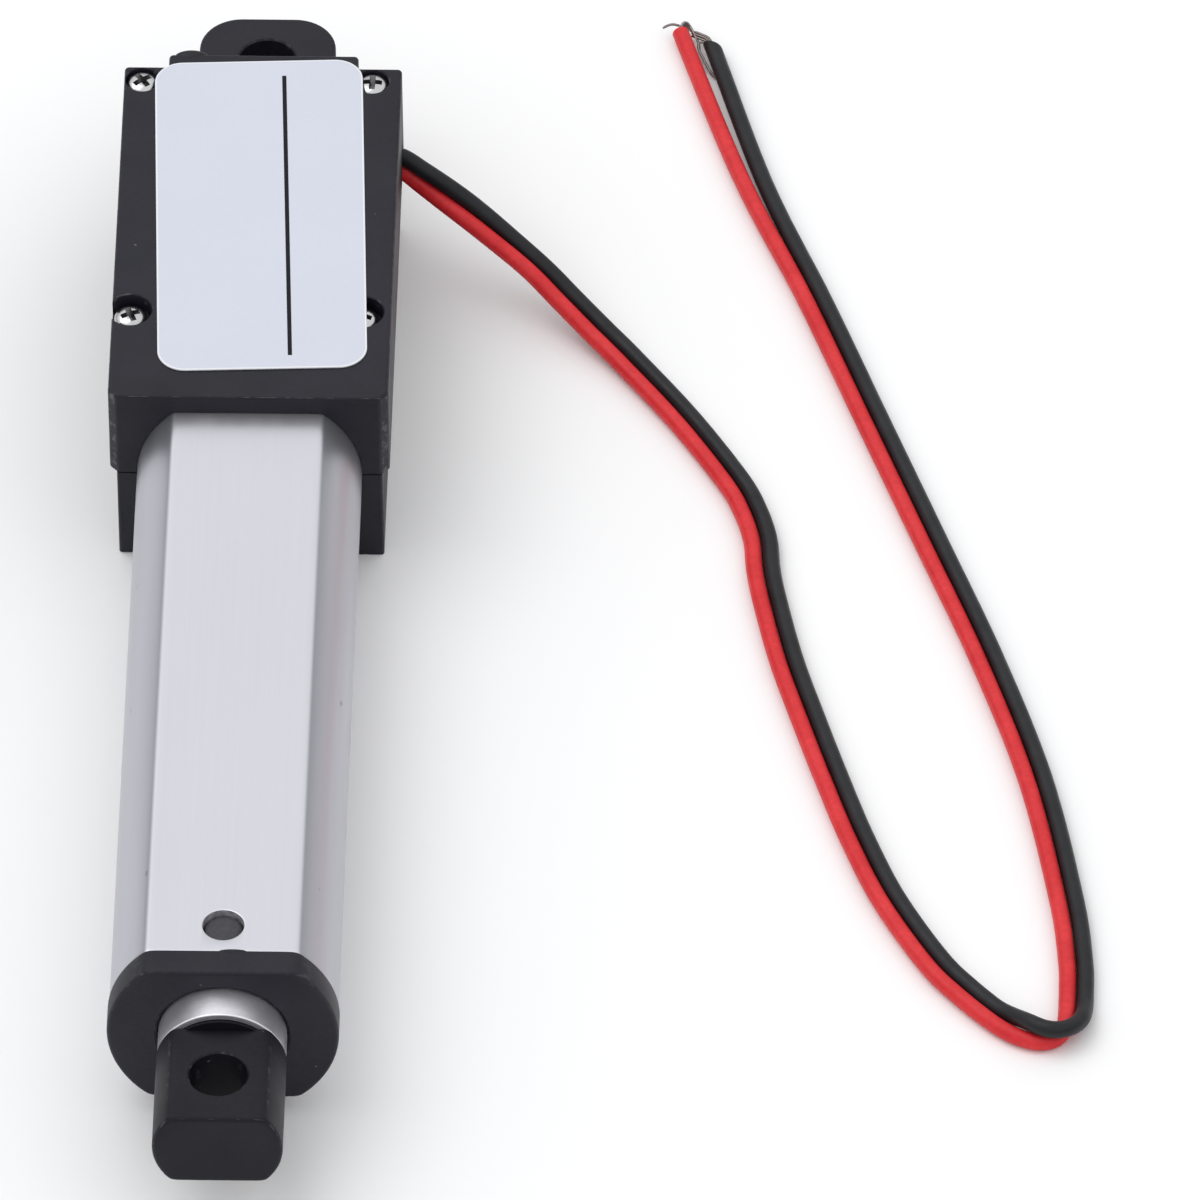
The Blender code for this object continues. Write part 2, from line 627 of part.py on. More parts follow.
def make_housing():
    """Two moulded halves that meet on the axis and hold everything else between them."""
    cavity = housing_cavity()
    cover_bottom = PARTING_Z + PARTING_GAP / 2
    base_top = PARTING_Z - PARTING_GAP / 2
    halves = [
        ("housing_cover", COVER_HALF_WIDTH, CORNER_CHAMFER, cover_bottom, HOUSING_HEIGHT, cover_bottom),
        ("housing_base", BASE_HALF_WIDTH, 0, 0.0, base_top, base_top),
    ]
    for name, half_width, chamfer, low, high, sharp_z in halves:
        half = plan_plate(name, [housing_outline(half_width, chamfer)], low, high, "black_plastic")
        round_edges(half, EDGE_ROUND, sharp_z=sharp_z)
        if name == "housing_cover":
            boolean(half, make_gate_mark(), "UNION")
        for cutter in cavity:
            boolean(half, cutter)
    cover = bpy.data.objects["housing_cover"]
    base = bpy.data.objects["housing_base"]
    for place_name, (x, y, sink, radius) in screw_places().items():
        head_seat = HOUSING_HEIGHT - sink - SCREW_HEAD_HEIGHT
        counterbore = pin("cut_counterbore_" + place_name, radius, head_seat - SEAT_FIT, HOUSING_HEIGHT + radius, x, y)
        boolean(cover, counterbore)
        shank_hole = pin(
            "cut_shank_" + place_name, SCREW_SHANK_DIAMETER / 2 + SEAT_FIT,
            head_seat - SCREW_LENGTH - SEAT_FIT, head_seat, x, y, steps=16,
        )
        boolean(cover, shank_hole)
        boolean(base, shank_hole)
    for side in (-1, 1):
        chamfer = COVER_HALF_WIDTH - BASE_HALF_WIDTH
        depth = HOUSING_LENGTH + 2 * chamfer
        outline = [
            (side * (BASE_HALF_WIDTH - chamfer), PARTING_Z - 2 * chamfer),
            (side * (COVER_HALF_WIDTH + 2 * chamfer), PARTING_Z + chamfer * 2.5),
            (side * (COVER_HALF_WIDTH + 2 * chamfer), PARTING_Z - 2 * chamfer),
        ]
        wedge = cross_plate(
            f"cut_side_chamfer_{'left' if side < 0 else 'right'}", [outline],
            HOUSING_FRONT_Y - chamfer, HOUSING_FRONT_Y - chamfer + depth, z=0.0,
        )
        boolean(cover, wedge)


def make_cover_screws():
    """Cross-recessed pan heads in their counterbores."""
    for place_name, (x, y, sink, _) in screw_places().items():
        head_top = HOUSING_HEIGHT - sink
        head_seat = head_top - SCREW_HEAD_HEIGHT
        head_radius = SCREW_HEAD_DIAMETER / 2
        profile = [
            (0, head_top),
            (head_radius * 0.72, head_top),
            (head_radius, head_top - SCREW_HEAD_HEIGHT / 2),
            (head_radius, head_seat),
            (SCREW_SHANK_DIAMETER / 2, head_seat),
            (SCREW_SHANK_DIAMETER / 2, head_seat - SCREW_LENGTH + 2 * SEAT_FIT),
            (0, head_seat - SCREW_LENGTH + 2 * SEAT_FIT),
        ]
        name = "cover_screw_" + place_name
        mesh = bpy.data.meshes.new(name)
        verts = [(radius * MM, 0, z * MM) for radius, z in profile]
        mesh.from_pydata(verts, [(i, i + 1) for i in range(len(verts) - 1)], [])
        screw = place(name, mesh, "bright_steel", (x, y, 0))
        turn = screw.modifiers.new("turn", "SCREW")
        turn.steps = SMALL_TURN_STEPS
        turn.render_steps = SMALL_TURN_STEPS
        turn.use_merge_vertices = True
        turn.merge_threshold = 1e-6
        for index, angle in enumerate((0, math.pi / 2)):
            half_length = CROSS_RECESS_LENGTH / 2
            half_width = CROSS_RECESS_WIDTH / 2
            slot = plan_plate(
                f"cut_recess_{place_name}_{index}",
                [[(-half_length, -half_width), (half_length, -half_width),
                  (half_length, half_width), (-half_length, half_width)]],
                head_top - CROSS_RECESS_DEPTH, head_top + SCREW_HEAD_HEIGHT, x=x, y=y, turn=angle + 0.5,
            )
            boolean(screw, slot)


def make_label():
    """The glued label, a little askew on the cover."""
    low = HOUSING_HEIGHT + LABEL_GLUE_GAP
    outline = rounded_rectangle(LABEL_WIDTH / 2, LABEL_LENGTH / 2, LABEL_CORNER_RADIUS)
    middle_y = HOUSING_FRONT_Y + LABEL_FRONT_MARGIN + LABEL_LENGTH / 2
    plan_plate(
        "label_plate", [outline], low, low + LABEL_THICKNESS, "label_film",
        x=LABEL_OFFSET_X, y=middle_y, turn=math.radians(LABEL_SKEW_DEG),
    )


def make_rear_eye():
    """The rear mounting eye, with a flange that the two halves trap."""
    half = EYE_WIDTH / 2
    radius = EYE_CORNER_RADIUS
    corner = [math.pi / 2 * i / 6 for i in range(7)]
    right = [(half - radius + radius * math.cos(a), EYE_TIP_Y - radius + radius * math.sin(a)) for a in corner]
    outline = [(half, EYE_FLANGE_FRONT_Y)] + right
    outline += [(-x, y) for x, y in reversed(outline)]
    low = AXIS_HEIGHT - EYE_THICKNESS / 2
    high = AXIS_HEIGHT + EYE_THICKNESS / 2
    eye = plan_plate("rear_mounting_eye", [outline], low, high, "black_plastic")
    round_edges(eye, EDGE_ROUND, segments=1)
    flange = block(
        "join_eye_flange",
        (-EYE_FLANGE_WIDTH / 2, EYE_FLANGE_FRONT_Y, AXIS_HEIGHT - EYE_FLANGE_HEIGHT / 2),
        (EYE_FLANGE_WIDTH / 2, EYE_FLANGE_REAR_Y, AXIS_HEIGHT + EYE_FLANGE_HEIGHT / 2),
    )
    boolean(eye, flange, "UNION")
    hole = pin("cut_eye_hole", PIN_HOLE_DIAMETER / 2, low - EYE_THICKNESS, high + EYE_THICKNESS, 0, EYE_HOLE_Y, steps=32)
    boolean(eye, hole)
    for place_name in ("rear_left", "rear_right"):  # a wide flange is notched for the screws that pass it
        x, y = screw_places()[place_name][:2]
        notch = pin(
            "cut_notch_" + place_name, SCREW_SHANK_DIAMETER / 2 + SCREW_NOTCH_CLEARANCE,
            AXIS_HEIGHT - EYE_FLANGE_HEIGHT, AXIS_HEIGHT + EYE_FLANGE_HEIGHT, x, y, steps=16,
        )
        boolean(eye, notch)


def make_tube():
    """The extruded outer tube with two latch holes at its front end."""
    outer = double_d(TUBE_DIAMETER / 2, TUBE_FLATS / 2, steps=16)
    inner = double_d(BORE_RADIUS, BORE_HALF_HEIGHT, steps=12)
    tube = cross_plate("outer_tube", [outer, inner], TUBE_FRONT_Y, TUBE_REAR_Y, "silver_anodised")
    hole_y = TUBE_FRONT_Y + LATCH_HOLE_FROM_TUBE_END
    hole = pin("cut_latch_holes", LATCH_HOLE_DIAMETER / 2, 0, 2 * AXIS_HEIGHT, 0, hole_y)
    boolean(tube, hole)
    smooth(tube)


def make_front_cap():
    """The front cap: flange, plug, two latch pegs, rod bore and seal groove."""
    flange_outline = double_d(TUBE_DIAMETER / 2 + CAP_OVERHANG, TUBE_FLATS / 2 + 2 * CAP_OVERHANG, steps=16)
    cap = cross_plate("front_cap", [flange_outline], CAP_FRONT_Y, TUBE_FRONT_Y - PRESS_SEAT, "black_plastic")
    round_edges(cap, CAP_OVERHANG, segments=1)
    plug = cross_plate(
        "join_cap_plug", [double_d(BORE_RADIUS - SEAT_FIT, BORE_HALF_HEIGHT - SEAT_FIT, steps=12)],
        TUBE_FRONT_Y - CAP_FLANGE_LENGTH / 2, TUBE_FRONT_Y + CAP_PLUG_LENGTH,
    )
    boolean(cap, plug, "UNION")
    peg_y = TUBE_FRONT_Y + LATCH_HOLE_FROM_TUBE_END
    reach = TUBE_FLATS / 2 - LATCH_PEG_SINK
    pegs = pin(
        "join_cap_pegs", LATCH_HOLE_DIAMETER / 2 - LATCH_PEG_CLEARANCE,
        AXIS_HEIGHT - reach, AXIS_HEIGHT + reach, 0, peg_y,
    )
    boolean(cap, pegs, "UNION")
    bore = rod_shape(
        "cut_cap_bore", ROD_DIAMETER / 2 + RUNNING_FIT,
        CAP_FRONT_Y - ROD_EXPOSED, TUBE_FRONT_Y + CAP_PLUG_LENGTH + ROD_EXPOSED,
    )
    boolean(cap, bore)
    seal_y = CAP_FRONT_Y + SEAL_FROM_CAP_FACE
    half = SEAL_SECTION / 2 + SEAL_GROOVE_CLEARANCE
    groove = ring_shape(
        "cut_seal_groove", ROD_DIAMETER / 2 - RUNNING_FIT, ROD_DIAMETER / 2 + SEAL_SECTION + 2 * SEAL_GROOVE_CLEARANCE,
        seal_y - half, seal_y + half,
    )
    boolean(cap, groove)
    smooth(cap)


def make_seal():
    """The O-ring that wipes the rod inside the cap."""
    seal_y = CAP_FRONT_Y + SEAL_FROM_CAP_FACE
    radius = SEAL_SECTION / 2
    middle = ROD_DIAMETER / 2 + SEAL_GROOVE_CLEARANCE + radius
    turn = 2 * math.pi / 8
    profile = [
        (middle + radius * math.cos(i * turn), seal_y + radius * math.sin(i * turn)) for i in range(8)
    ]
    smooth(turned("rod_seal", profile, "rubber", closed=True))


def make_rod():
    """The push rod, its black end block and the nut that pushes it."""
    smooth(ring_shape("push_rod", ROD_BORE_RADIUS, ROD_DIAMETER / 2, ROD_FRONT_Y, NUT_FRONT_Y - PRESS_SEAT, "polished_aluminium"))
    end_outline = double_d(ROD_END_DIAMETER / 2, ROD_END_FLATS / 2, steps=12)
    rod_end = cross_plate("rod_end", [end_outline], TIP_Y, ROD_FRONT_Y - PRESS_SEAT, "black_plastic")
    round_edges(rod_end, EDGE_ROUND, segments=1)
    spigot = rod_shape(
        "join_rod_end_spigot", ROD_BORE_RADIUS - PRESS_SEAT, ROD_FRONT_Y - ROD_EXPOSED, ROD_FRONT_Y + ROD_END_LENGTH / 2
    )
    keep = block(
        "cut_rod_end_relief",
        (-ROD_DIAMETER, ROD_FRONT_Y - 2 * ROD_EXPOSED, -ROD_DIAMETER),
        (ROD_DIAMETER, ROD_FRONT_Y - PRESS_SEAT * 10, ROD_DIAMETER * 3),
    )
    boolean(spigot, keep)
    boolean(rod_end, spigot, "UNION")
    hole = pin(
        "cut_rod_end_hole", PIN_HOLE_DIAMETER / 2, AXIS_HEIGHT - ROD_END_FLATS, AXIS_HEIGHT + ROD_END_FLATS,
        0, ROD_END_HOLE_Y, steps=32,
    )
    boolean(rod_end, hole)
    smooth(rod_end)
    nut_outline = double_d(BORE_RADIUS - SLIDING_FIT, BORE_HALF_HEIGHT - SLIDING_FIT, side_x=NUT_SIDE_X, steps=12)
    nut = cross_plate("drive_nut", [nut_outline], NUT_FRONT_Y, NUT_REAR_Y, "white_nylon")
    spigot = rod_shape("join_nut_spigot", ROD_BORE_RADIUS - PRESS_SEAT, NUT_FRONT_Y - NUT_LENGTH, NUT_FRONT_Y + NUT_LENGTH / 2)
    boolean(nut, spigot, "UNION")
    bore = rod_shape(
        "cut_nut_bore", SCREW_DIAMETER / 2 + RUNNING_FIT, NUT_FRONT_Y - 2 * NUT_LENGTH, NUT_REAR_Y + NUT_LENGTH, steps=32
    )
    boolean(nut, bore)
    smooth(nut)


def make_screw():
    """The lead screw with its collar, bearing journal and the shaft that carries the output gear."""
    radius = SCREW_DIAMETER / 2
    front = TUBE_FRONT_Y + CAP_PLUG_LENGTH + FRONT_STOP_GAP
    journal = radius - PRESS_SEAT
    output = OUTPUT_SHAFT_DIAMETER / 2
    idler = IDLER_SHAFT_DIAMETER / 2
    output_rear = layer(0)[1]
    tail = layer(2)[1] - GEAR_GAP
    profile = [
        (0, front),
        (radius * 0.7, front),
        (radius, front + radius * 0.3),
        (radius, COLLAR_FRONT_Y),
        (radius + RACE_THICKNESS * 0.8, COLLAR_FRONT_Y),
        (radius + RACE_THICKNESS * 0.8, BEARING_FRONT_Y - PRESS_SEAT),
        (journal, BEARING_FRONT_Y - PRESS_SEAT),
        (journal, BEARING_REAR_Y),
        (output, BEARING_REAR_Y),
        (output, output_rear),
        (idler, output_rear),
        (idler, tail),
        (0, tail),
    ]
    smooth(turned("lead_screw", profile, "brushed_steel", steps=32))
    gear_plate("output_gear", wheel_outline(), layer(0), OUTPUT_SHAFT_DIAMETER / 2 + PRESS_SEAT, 0.0)


def gear_plate(name, outline, span, bore_radius, x, finish="brass"):
    """A single gear with its bore."""
    return cross_plate(name, [outline, circle(bore_radius, 24)], span[0], span[1], finish, x=x)


def compound_gear(name, wheel_layer, x, bore_radius):
    """A wheel and the smaller gear in front of it, moulded as one."""
    wheel_span = layer(wheel_layer)
    pinion_span = layer(wheel_layer - 1)
    gear = cross_plate(name, [wheel_outline()], wheel_span[0], wheel_span[1], "brass", x=x)
    small = cross_plate(
        "join_" + name, [pinion_outline()], pinion_span[0], wheel_span[1] - GEAR_FACE / 2, x=x
    )
    boolean(gear, small, "UNION")
    bore = rod_shape(
        "cut_" + name, bore_radius, pinion_span[0] - GEAR_FACE, wheel_span[1] + GEAR_FACE, x=x, steps=SMALL_TURN_STEPS
    )
    boolean(gear, bore)
    return gear


def make_gearbox():
    """Two plates, their posts, one idler shaft and three compound gears."""
    half_x = GEAR_PLATE_WIDTH / 2
    half_z = GEAR_PLATE_HEIGHT / 2
    plate_outline = rounded_rectangle(half_x, half_z, POST_DIAMETER / 2)
    shaft_hole = circle(IDLER_SHAFT_DIAMETER / 2 + PRESS_SEAT, x=AXIS_DISTANCE)
    post_holes = [
        circle(POST_DIAMETER / 4 + PRESS_SEAT, x=POST_X, y=side * POST_RISE) for side in (-1, 1)
    ]
    plates = [
        ("gearbox_front_plate", FRONT_PLATE_Y, OUTPUT_SHAFT_DIAMETER / 2 + RUNNING_FIT),
        ("gearbox_rear_plate", REAR_PLATE_Y, MOTOR_BOSS_DIAMETER / 2 + SEAT_FIT),
    ]
    for name, front, bore in plates:
        outlines = [plate_outline, circle(bore, 24), shaft_hole] + post_holes
        cross_plate(name, outlines, front, front + GEAR_PLATE_THICKNESS, "brass")
    rear = REAR_PLATE_Y + GEAR_PLATE_THICKNESS
    rod_shape(
        "idler_shaft", IDLER_SHAFT_DIAMETER / 2, FRONT_PLATE_Y, rear, "bright_steel",
        x=AXIS_DISTANCE, steps=SMALL_TURN_STEPS,
    )
    for label, side in (("lower", -1), ("upper", 1)):
        full = POST_DIAMETER / 2
        thin = POST_DIAMETER / 4
        inner_front = FRONT_PLATE_Y + GEAR_PLATE_THICKNESS + PRESS_SEAT
        inner_rear = REAR_PLATE_Y - PRESS_SEAT
        profile = [
            (0, FRONT_PLATE_Y), (thin, FRONT_PLATE_Y), (thin, inner_front), (full, inner_front),
            (full, inner_rear), (thin, inner_rear), (thin, rear), (0, rear),
        ]
        turned(
            "gearbox_post_" + label, profile, "brass", x=POST_X,
            z=AXIS_HEIGHT + side * POST_RISE, steps=SMALL_TURN_STEPS,
        )
    idler_bore = IDLER_SHAFT_DIAMETER / 2 + RUNNING_FIT / 2
    compound_gear("third_stage_gear", 1, AXIS_DISTANCE, idler_bore)
    compound_gear("second_stage_gear", 2, 0.0, idler_bore)
    compound_gear("first_stage_gear", 3, AXIS_DISTANCE, idler_bore)
    shaft_radius = MOTOR_SHAFT_DIAMETER / 2
    gear_plate("motor_pinion", pinion_outline(), layer(3), shaft_radius + PRESS_SEAT, 0.0)


def make_bearing():
    """A shielded ball bearing whose outer race sits in the housing web and whose inner race turns."""
    outer = BEARING_OUTER_DIAMETER / 2
    inner = SCREW_DIAMETER / 2
    shield = inner + RACE_THICKNESS + SHIELD_GAP
    profile = [
        (outer, BEARING_FRONT_Y),
        (outer, BEARING_REAR_Y),
        (shield, BEARING_REAR_Y),
        (shield, BEARING_REAR_Y - SHIELD_THICKNESS),
        (outer - RACE_THICKNESS, BEARING_REAR_Y - SHIELD_THICKNESS),
        (outer - RACE_THICKNESS, BEARING_FRONT_Y + SHIELD_THICKNESS),
        (shield, BEARING_FRONT_Y + SHIELD_THICKNESS),
        (shield, BEARING_FRONT_Y),
    ]
    smooth(turned("bearing_outer_race", profile, "bright_steel", closed=True))
    smooth(ring_shape(
        "bearing_inner_race", inner, inner + RACE_THICKNESS, BEARING_FRONT_Y, BEARING_REAR_Y, "bright_steel", steps=32
    ))


def make_motor():
    """The motor can, its end cap, two terminals and the shaft that comes out at the front."""
    outline = double_d(MOTOR_DIAMETER / 2, MOTOR_FLATS / 2, steps=12)
    shaft_radius = MOTOR_SHAFT_DIAMETER / 2
    can = cross_plate("motor_can", [outline], MOTOR_FRONT_Y, MOTOR_CAP_Y, "bright_steel")
    round_edges(can, EDGE_ROUND, segments=1)
    boss = rod_shape(
        "join_motor_boss", MOTOR_BOSS_DIAMETER / 2, MOTOR_FRONT_Y - MOTOR_BOSS_LENGTH, MOTOR_FRONT_Y + MOTOR_BOSS_LENGTH, steps=24
    )
    boolean(can, boss, "UNION")
    bore_rear = MOTOR_FRONT_Y + GEAR_FACE * 2
    bore = rod_shape(
        "cut_motor_bore", shaft_radius + RUNNING_FIT, MOTOR_FRONT_Y - 2 * MOTOR_BOSS_LENGTH, bore_rear, steps=SMALL_TURN_STEPS
    )
    boolean(can, bore)
    rod_shape(
        "motor_shaft", shaft_radius, layer(3)[0], bore_rear - RUNNING_FIT, "bright_steel", steps=SMALL_TURN_STEPS
    )
    cap_outline = double_d(MOTOR_DIAMETER / 2 - SEAT_FIT, MOTOR_FLATS / 2 - SEAT_FIT, steps=12)
    cap = cross_plate("motor_end_cap", [cap_outline], MOTOR_CAP_Y + PRESS_SEAT, MOTOR_REAR_Y, "white_nylon")
    round_edges(cap, SEAT_FIT * 3, segments=1)
    for label, side in (("lower", -1), ("upper", 1)):
        middle_z = LEAD_EXIT_Z + side * LEAD_PITCH / 2
        root_x = MOTOR_DIAMETER / 2
        terminal = block(
            "motor_terminal_" + label,
            (root_x + PRESS_SEAT, TERMINAL_Y - TERMINAL_THICKNESS / 2, middle_z - TERMINAL_WIDTH / 2),
            (root_x + TERMINAL_REACH, TERMINAL_Y + TERMINAL_THICKNESS / 2, middle_z + TERMINAL_WIDTH / 2),
            "tinned_copper",
        )
        round_edges(terminal, TERMINAL_THICKNESS / 5, segments=1)


def make_limit_contacts():
    """The strip of circuit board beside the nut, with a contact at each end of the stroke."""
    front = TUBE_FRONT_Y + CAP_PLUG_LENGTH + BOARD_END_GAP
    rear = TUBE_REAR_Y - BOARD_END_GAP
    low = AXIS_HEIGHT - BOARD_HEIGHT / 2
    block(
        "limit_switch_board", (BOARD_INNER_X, front, low), (BOARD_OUTER_X, rear, low + BOARD_HEIGHT), "circuit_board"
    )
    for label, start_y in (("front", front + CONTACT_INSET), ("rear", rear - CONTACT_INSET - CONTACT_LENGTH)):
        contact = block(
            "limit_contact_" + label,
            (CONTACT_INNER_X, start_y, AXIS_HEIGHT - CONTACT_HEIGHT / 2),
            (BOARD_INNER_X - PRESS_SEAT, start_y + CONTACT_LENGTH, AXIS_HEIGHT + CONTACT_HEIGHT / 2),
            "tinned_copper",
        )
        round_edges(contact, CONTACT_THICKNESS / 4, segments=1)


def catmull(points, per_span=16):
    """A smooth curve through the points: each span is a cubic whose end slopes follow its neighbours."""
    points = [Vector(p) for p in points]
    ends = [2 * points[0] - points[1]] + points + [2 * points[-1] - points[-2]]
    curve = []
    for i in range(1, len(ends) - 2):
        before, first, second, after = ends[i - 1:i + 3]
        for step in range(per_span):
            t = step / per_span
            curve.append(0.5 * (
                2 * first + (second - before) * t
                + (2 * before - 5 * first + 4 * second - after) * t * t
                + (3 * first - before - 3 * second + after) * t ** 3
            ))
    curve.append(points[-1])
    return curve


def ease(value):
    """Smooth step from 0 to 1."""
    value = min(1.0, max(0.0, value))
    return value * value * (3 - 2 * value)


def lead_path(side):
    """One lead of the pair. side is 1 for the black lead and -1 for the red one.

    The pair leaves the slot with black above red, rolls flat, and turns over once at the far bend.
    """
    dense = catmull(LEAD_ROUTE)
    lengths = [0.0]
    for a, b in zip(dense, dense[1:]):
        lengths.append(lengths[-1] + (b - a).length)
    total = lengths[-1]
    crossing = min(zip(dense, lengths), key=lambda pair: pair[0].y)[1]
    path = []
    for i, (point, along) in enumerate(zip(dense, lengths)):
        ahead = dense[min(i + 1, len(dense) - 1)] - dense[max(i - 1, 0)]
        left = Vector((-ahead.y, ahead.x, 0)).normalized()
        roll = math.pi / 2 * (1 - ease(along / TWIST_SETTLES_AT))
        roll += math.pi * ease((along - crossing + CROSSING_REACH) / (2 * CROSSING_REACH))
        half = LEAD_PITCH / 2 + ENDS_PART_BY * ease((along - total + ENDS_PART_OVER) / ENDS_PART_OVER)
        lift = half * abs(math.sin(roll)) if along > TWIST_SETTLES_AT else 0.0
        offset = side * half * (left * math.cos(roll) + Vector((0, 0, math.sin(roll))))
        path.append((along, point + offset + Vector((0, 0, lift))))
    finish = total - (BLACK_LEAD_SHORTER if side > 0 else 0.0)
    path = [(along, point) for along, point in path if along <= finish]
    return path, crossing


def thin_path(path, crossing):
    """Points a few diameters apart, and closer together where the pair twists."""
    points = [path[0][1]]
    last = path[0][0]
    for along, point in path[1:-1]:
        twisting = abs(along - crossing) < CROSSING_REACH + LEAD_DIAMETER
        if along - last >= (LEAD_FINE_SPACING if twisting else LEAD_SPACING):
            points.append(point)
            last = along
    if (path[-1][1] - points[-1]).length < LEAD_FINE_SPACING:
        points.pop()
    points.append(path[-1][1])
    return points


def tube_curve(name, points, radius, finish):
    """A round tube along a line of points, closed at both ends."""
    curve = bpy.data.curves.new(name, "CURVE")
    curve.dimensions = "3D"
    curve.bevel_depth = radius * MM
    curve.bevel_resolution = 2
    curve.use_fill_caps = True
    spline = curve.splines.new("POLY")
    spline.points.add(len(points) - 1)
    for target, point in zip(spline.points, points):
        target.co = (point[0] * MM, point[1] * MM, point[2] * MM, 1)
    curve.materials.append(MATERIALS[finish])
    obj = bpy.data.objects.new(name, curve)
    PARTS.objects.link(obj)
    return obj


def make_leads():
    """Two leads side by side, each with a tuft of bare strands at its end."""
    for name, side, finish in (("black", 1, "black_wire"), ("red", -1, "red_wire")):
        path, crossing = lead_path(side)
        points = thin_path(path, crossing)
        tube_curve(name + "_lead", points, LEAD_DIAMETER / 2, finish)
        direction = (points[-1] - points[-2]).normalized()
        sideways = Vector((direction.y, -direction.x, 0)) * side
        tip = points[-1] + direction * STRAND_GAP
        strands = [
            tip,
            tip + direction * 0.7 + sideways * 0.15,
            tip + direction * 1.2 + sideways * 0.7,
            tip + direction * 1.4 + sideways * 1.5,
        ]
        tube_curve(name + "_wire_end", strands, STRAND_DIAMETER / 2, "tinned_copper")


def main():
    """Build every piece."""
    make_housing()
    make_cover_screws()
    make_label()
    make_rear_eye()
    make_tube()
    make_front_cap()
    make_seal()
    make_rod()
    make_bearing()
    make_screw()
    make_gearbox()
    make_motor()
    make_limit_contacts()
    make_leads()


main()
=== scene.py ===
"""Looks of a micro linear actuator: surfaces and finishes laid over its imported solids.

Sizes are worked out in millimetres and become metres when a mesh is made. The rod points along -Y.
"""

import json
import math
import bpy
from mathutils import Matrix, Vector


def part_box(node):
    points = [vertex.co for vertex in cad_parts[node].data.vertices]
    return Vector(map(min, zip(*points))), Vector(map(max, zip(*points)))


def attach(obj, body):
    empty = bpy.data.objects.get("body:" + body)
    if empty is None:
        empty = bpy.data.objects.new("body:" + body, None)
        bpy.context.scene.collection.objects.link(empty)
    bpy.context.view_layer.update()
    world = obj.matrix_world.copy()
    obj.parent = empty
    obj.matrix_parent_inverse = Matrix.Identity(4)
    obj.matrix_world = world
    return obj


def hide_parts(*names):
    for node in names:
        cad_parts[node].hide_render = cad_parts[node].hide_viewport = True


bl_info = {
    "name": "Micro Linear Actuator",
    "version": (1, 0, 0),
    "blender": (4, 5, 0),
    "location": "View3D > Sidebar > Actuator",
    "description": "Builds the visible surfaces, finishes, leads and stage of a micro linear actuator",
    "category": "Add Mesh",
}

import bmesh
import bpy
import numpy as np

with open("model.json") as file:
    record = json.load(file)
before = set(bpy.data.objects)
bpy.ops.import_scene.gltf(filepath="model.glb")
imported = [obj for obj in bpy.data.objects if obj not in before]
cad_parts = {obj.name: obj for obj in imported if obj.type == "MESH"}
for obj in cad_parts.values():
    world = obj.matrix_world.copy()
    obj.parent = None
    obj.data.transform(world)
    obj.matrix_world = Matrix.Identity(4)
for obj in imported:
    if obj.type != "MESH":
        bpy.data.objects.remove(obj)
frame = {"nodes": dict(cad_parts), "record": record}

MM = 0.001


def span(node):
    """Lowest and highest corner of a solid at rest, in millimetres."""
    low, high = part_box(node)
    return np.array(low) / MM, np.array(high) / MM


COVER_LOW, COVER_HIGH = span("housing_cover")
BASE_LOW, BASE_HIGH = span("housing_base")
TUBE_LOW, TUBE_HIGH = span("outer_tube")
CAP_LOW, CAP_HIGH = span("front_cap")
ROD_LOW, ROD_HIGH = span("push_rod")
ROD_END_LOW, ROD_END_HIGH = span("rod_end")
EYE_LOW, EYE_HIGH = span("rear_mounting_eye")
LABEL_LOW, LABEL_HIGH = span("label_plate")
BEARING_HIGH = span("bearing_outer_race")[1]
MOTOR_HIGH = span("motor_can")[1]
HAIRLINE = 0.02  # between two faces that touch on the real part
AXIS_Z = (TUBE_LOW[2] + TUBE_HIGH[2]) / 2
TUBE_FLAT = (TUBE_HIGH[2] - TUBE_LOW[2]) / 2
LATCH_Y = TUBE_LOW[1] + 2.7
HOUSING_TOP = LABEL_LOW[2] - HAIRLINE
HOUSING_REAR = BASE_HIGH[1]
TAIL_SETBACK = 1.3
END_BLOCK_FLAT = 3.15
HEAD_HEIGHT = 0.9

# The camera's place in millimetres, and its yaw, pitch and roll in degrees
CAMERA_PLACE = (75.35, -1406.07, 1402.26)
CAMERA_TURN = (-2.0433, 44.755, -0.8805)

# The lamp's place and size in metres
LAMP_PLACE = (-0.55, 0.25, 1.25)
LAMP_SIZE = 0.9

# The line between the two leads, with the same points as the solids follow: down from the housing, and
# then along the floor at one height
LEAD_HEIGHT = 0.62
LEAD_FALL = [
    (7.25, 42.75, 9), (8.6, 42.75, 9), (9.9, 42.6, 8.95), (11.5, 41.85, 8.2), (14.6, 40.25, 6.65),
    (17.3, 38.85, 5), (19.75, 37.3, 3.6), (21.95, 35.4, 2.4), (24.1, 33.3, 1.5), (26.3, 30.9, 0.9),
]
LEAD_ON_FLOOR = [
    (30.5, 25.1), (34.1, 19), (35.4, 16), (36.2, 13), (36.5, 9.9), (37, 6.9), (38.3, 0.9),
    (40, -5.1), (41.8, -11.1), (43.7, -17), (46, -22.9), (49.15, -28.8), (51.3, -31.7), (54, -34.6),
    (56.1, -36.3), (57.5, -36.7), (58.6, -36.1), (59.2, -34.6), (59.3, -31.6), (59.2, -28.7),
    (58.5, -22.8), (56.15, -10.9), (52.55, 1.1), (48.3, 13.1), (43.95, 25.3), (39.6, 37.55),
    (34.9, 49.9), (30.07, 66.07),
]
LEAD_ROUTE = np.array(LEAD_FALL + [(x, y, LEAD_HEIGHT) for x, y in LEAD_ON_FLOOR])

# How far before the end of that line each lead is cut
LEAD_CUT = {"black": 2.1, "red": 0.6}


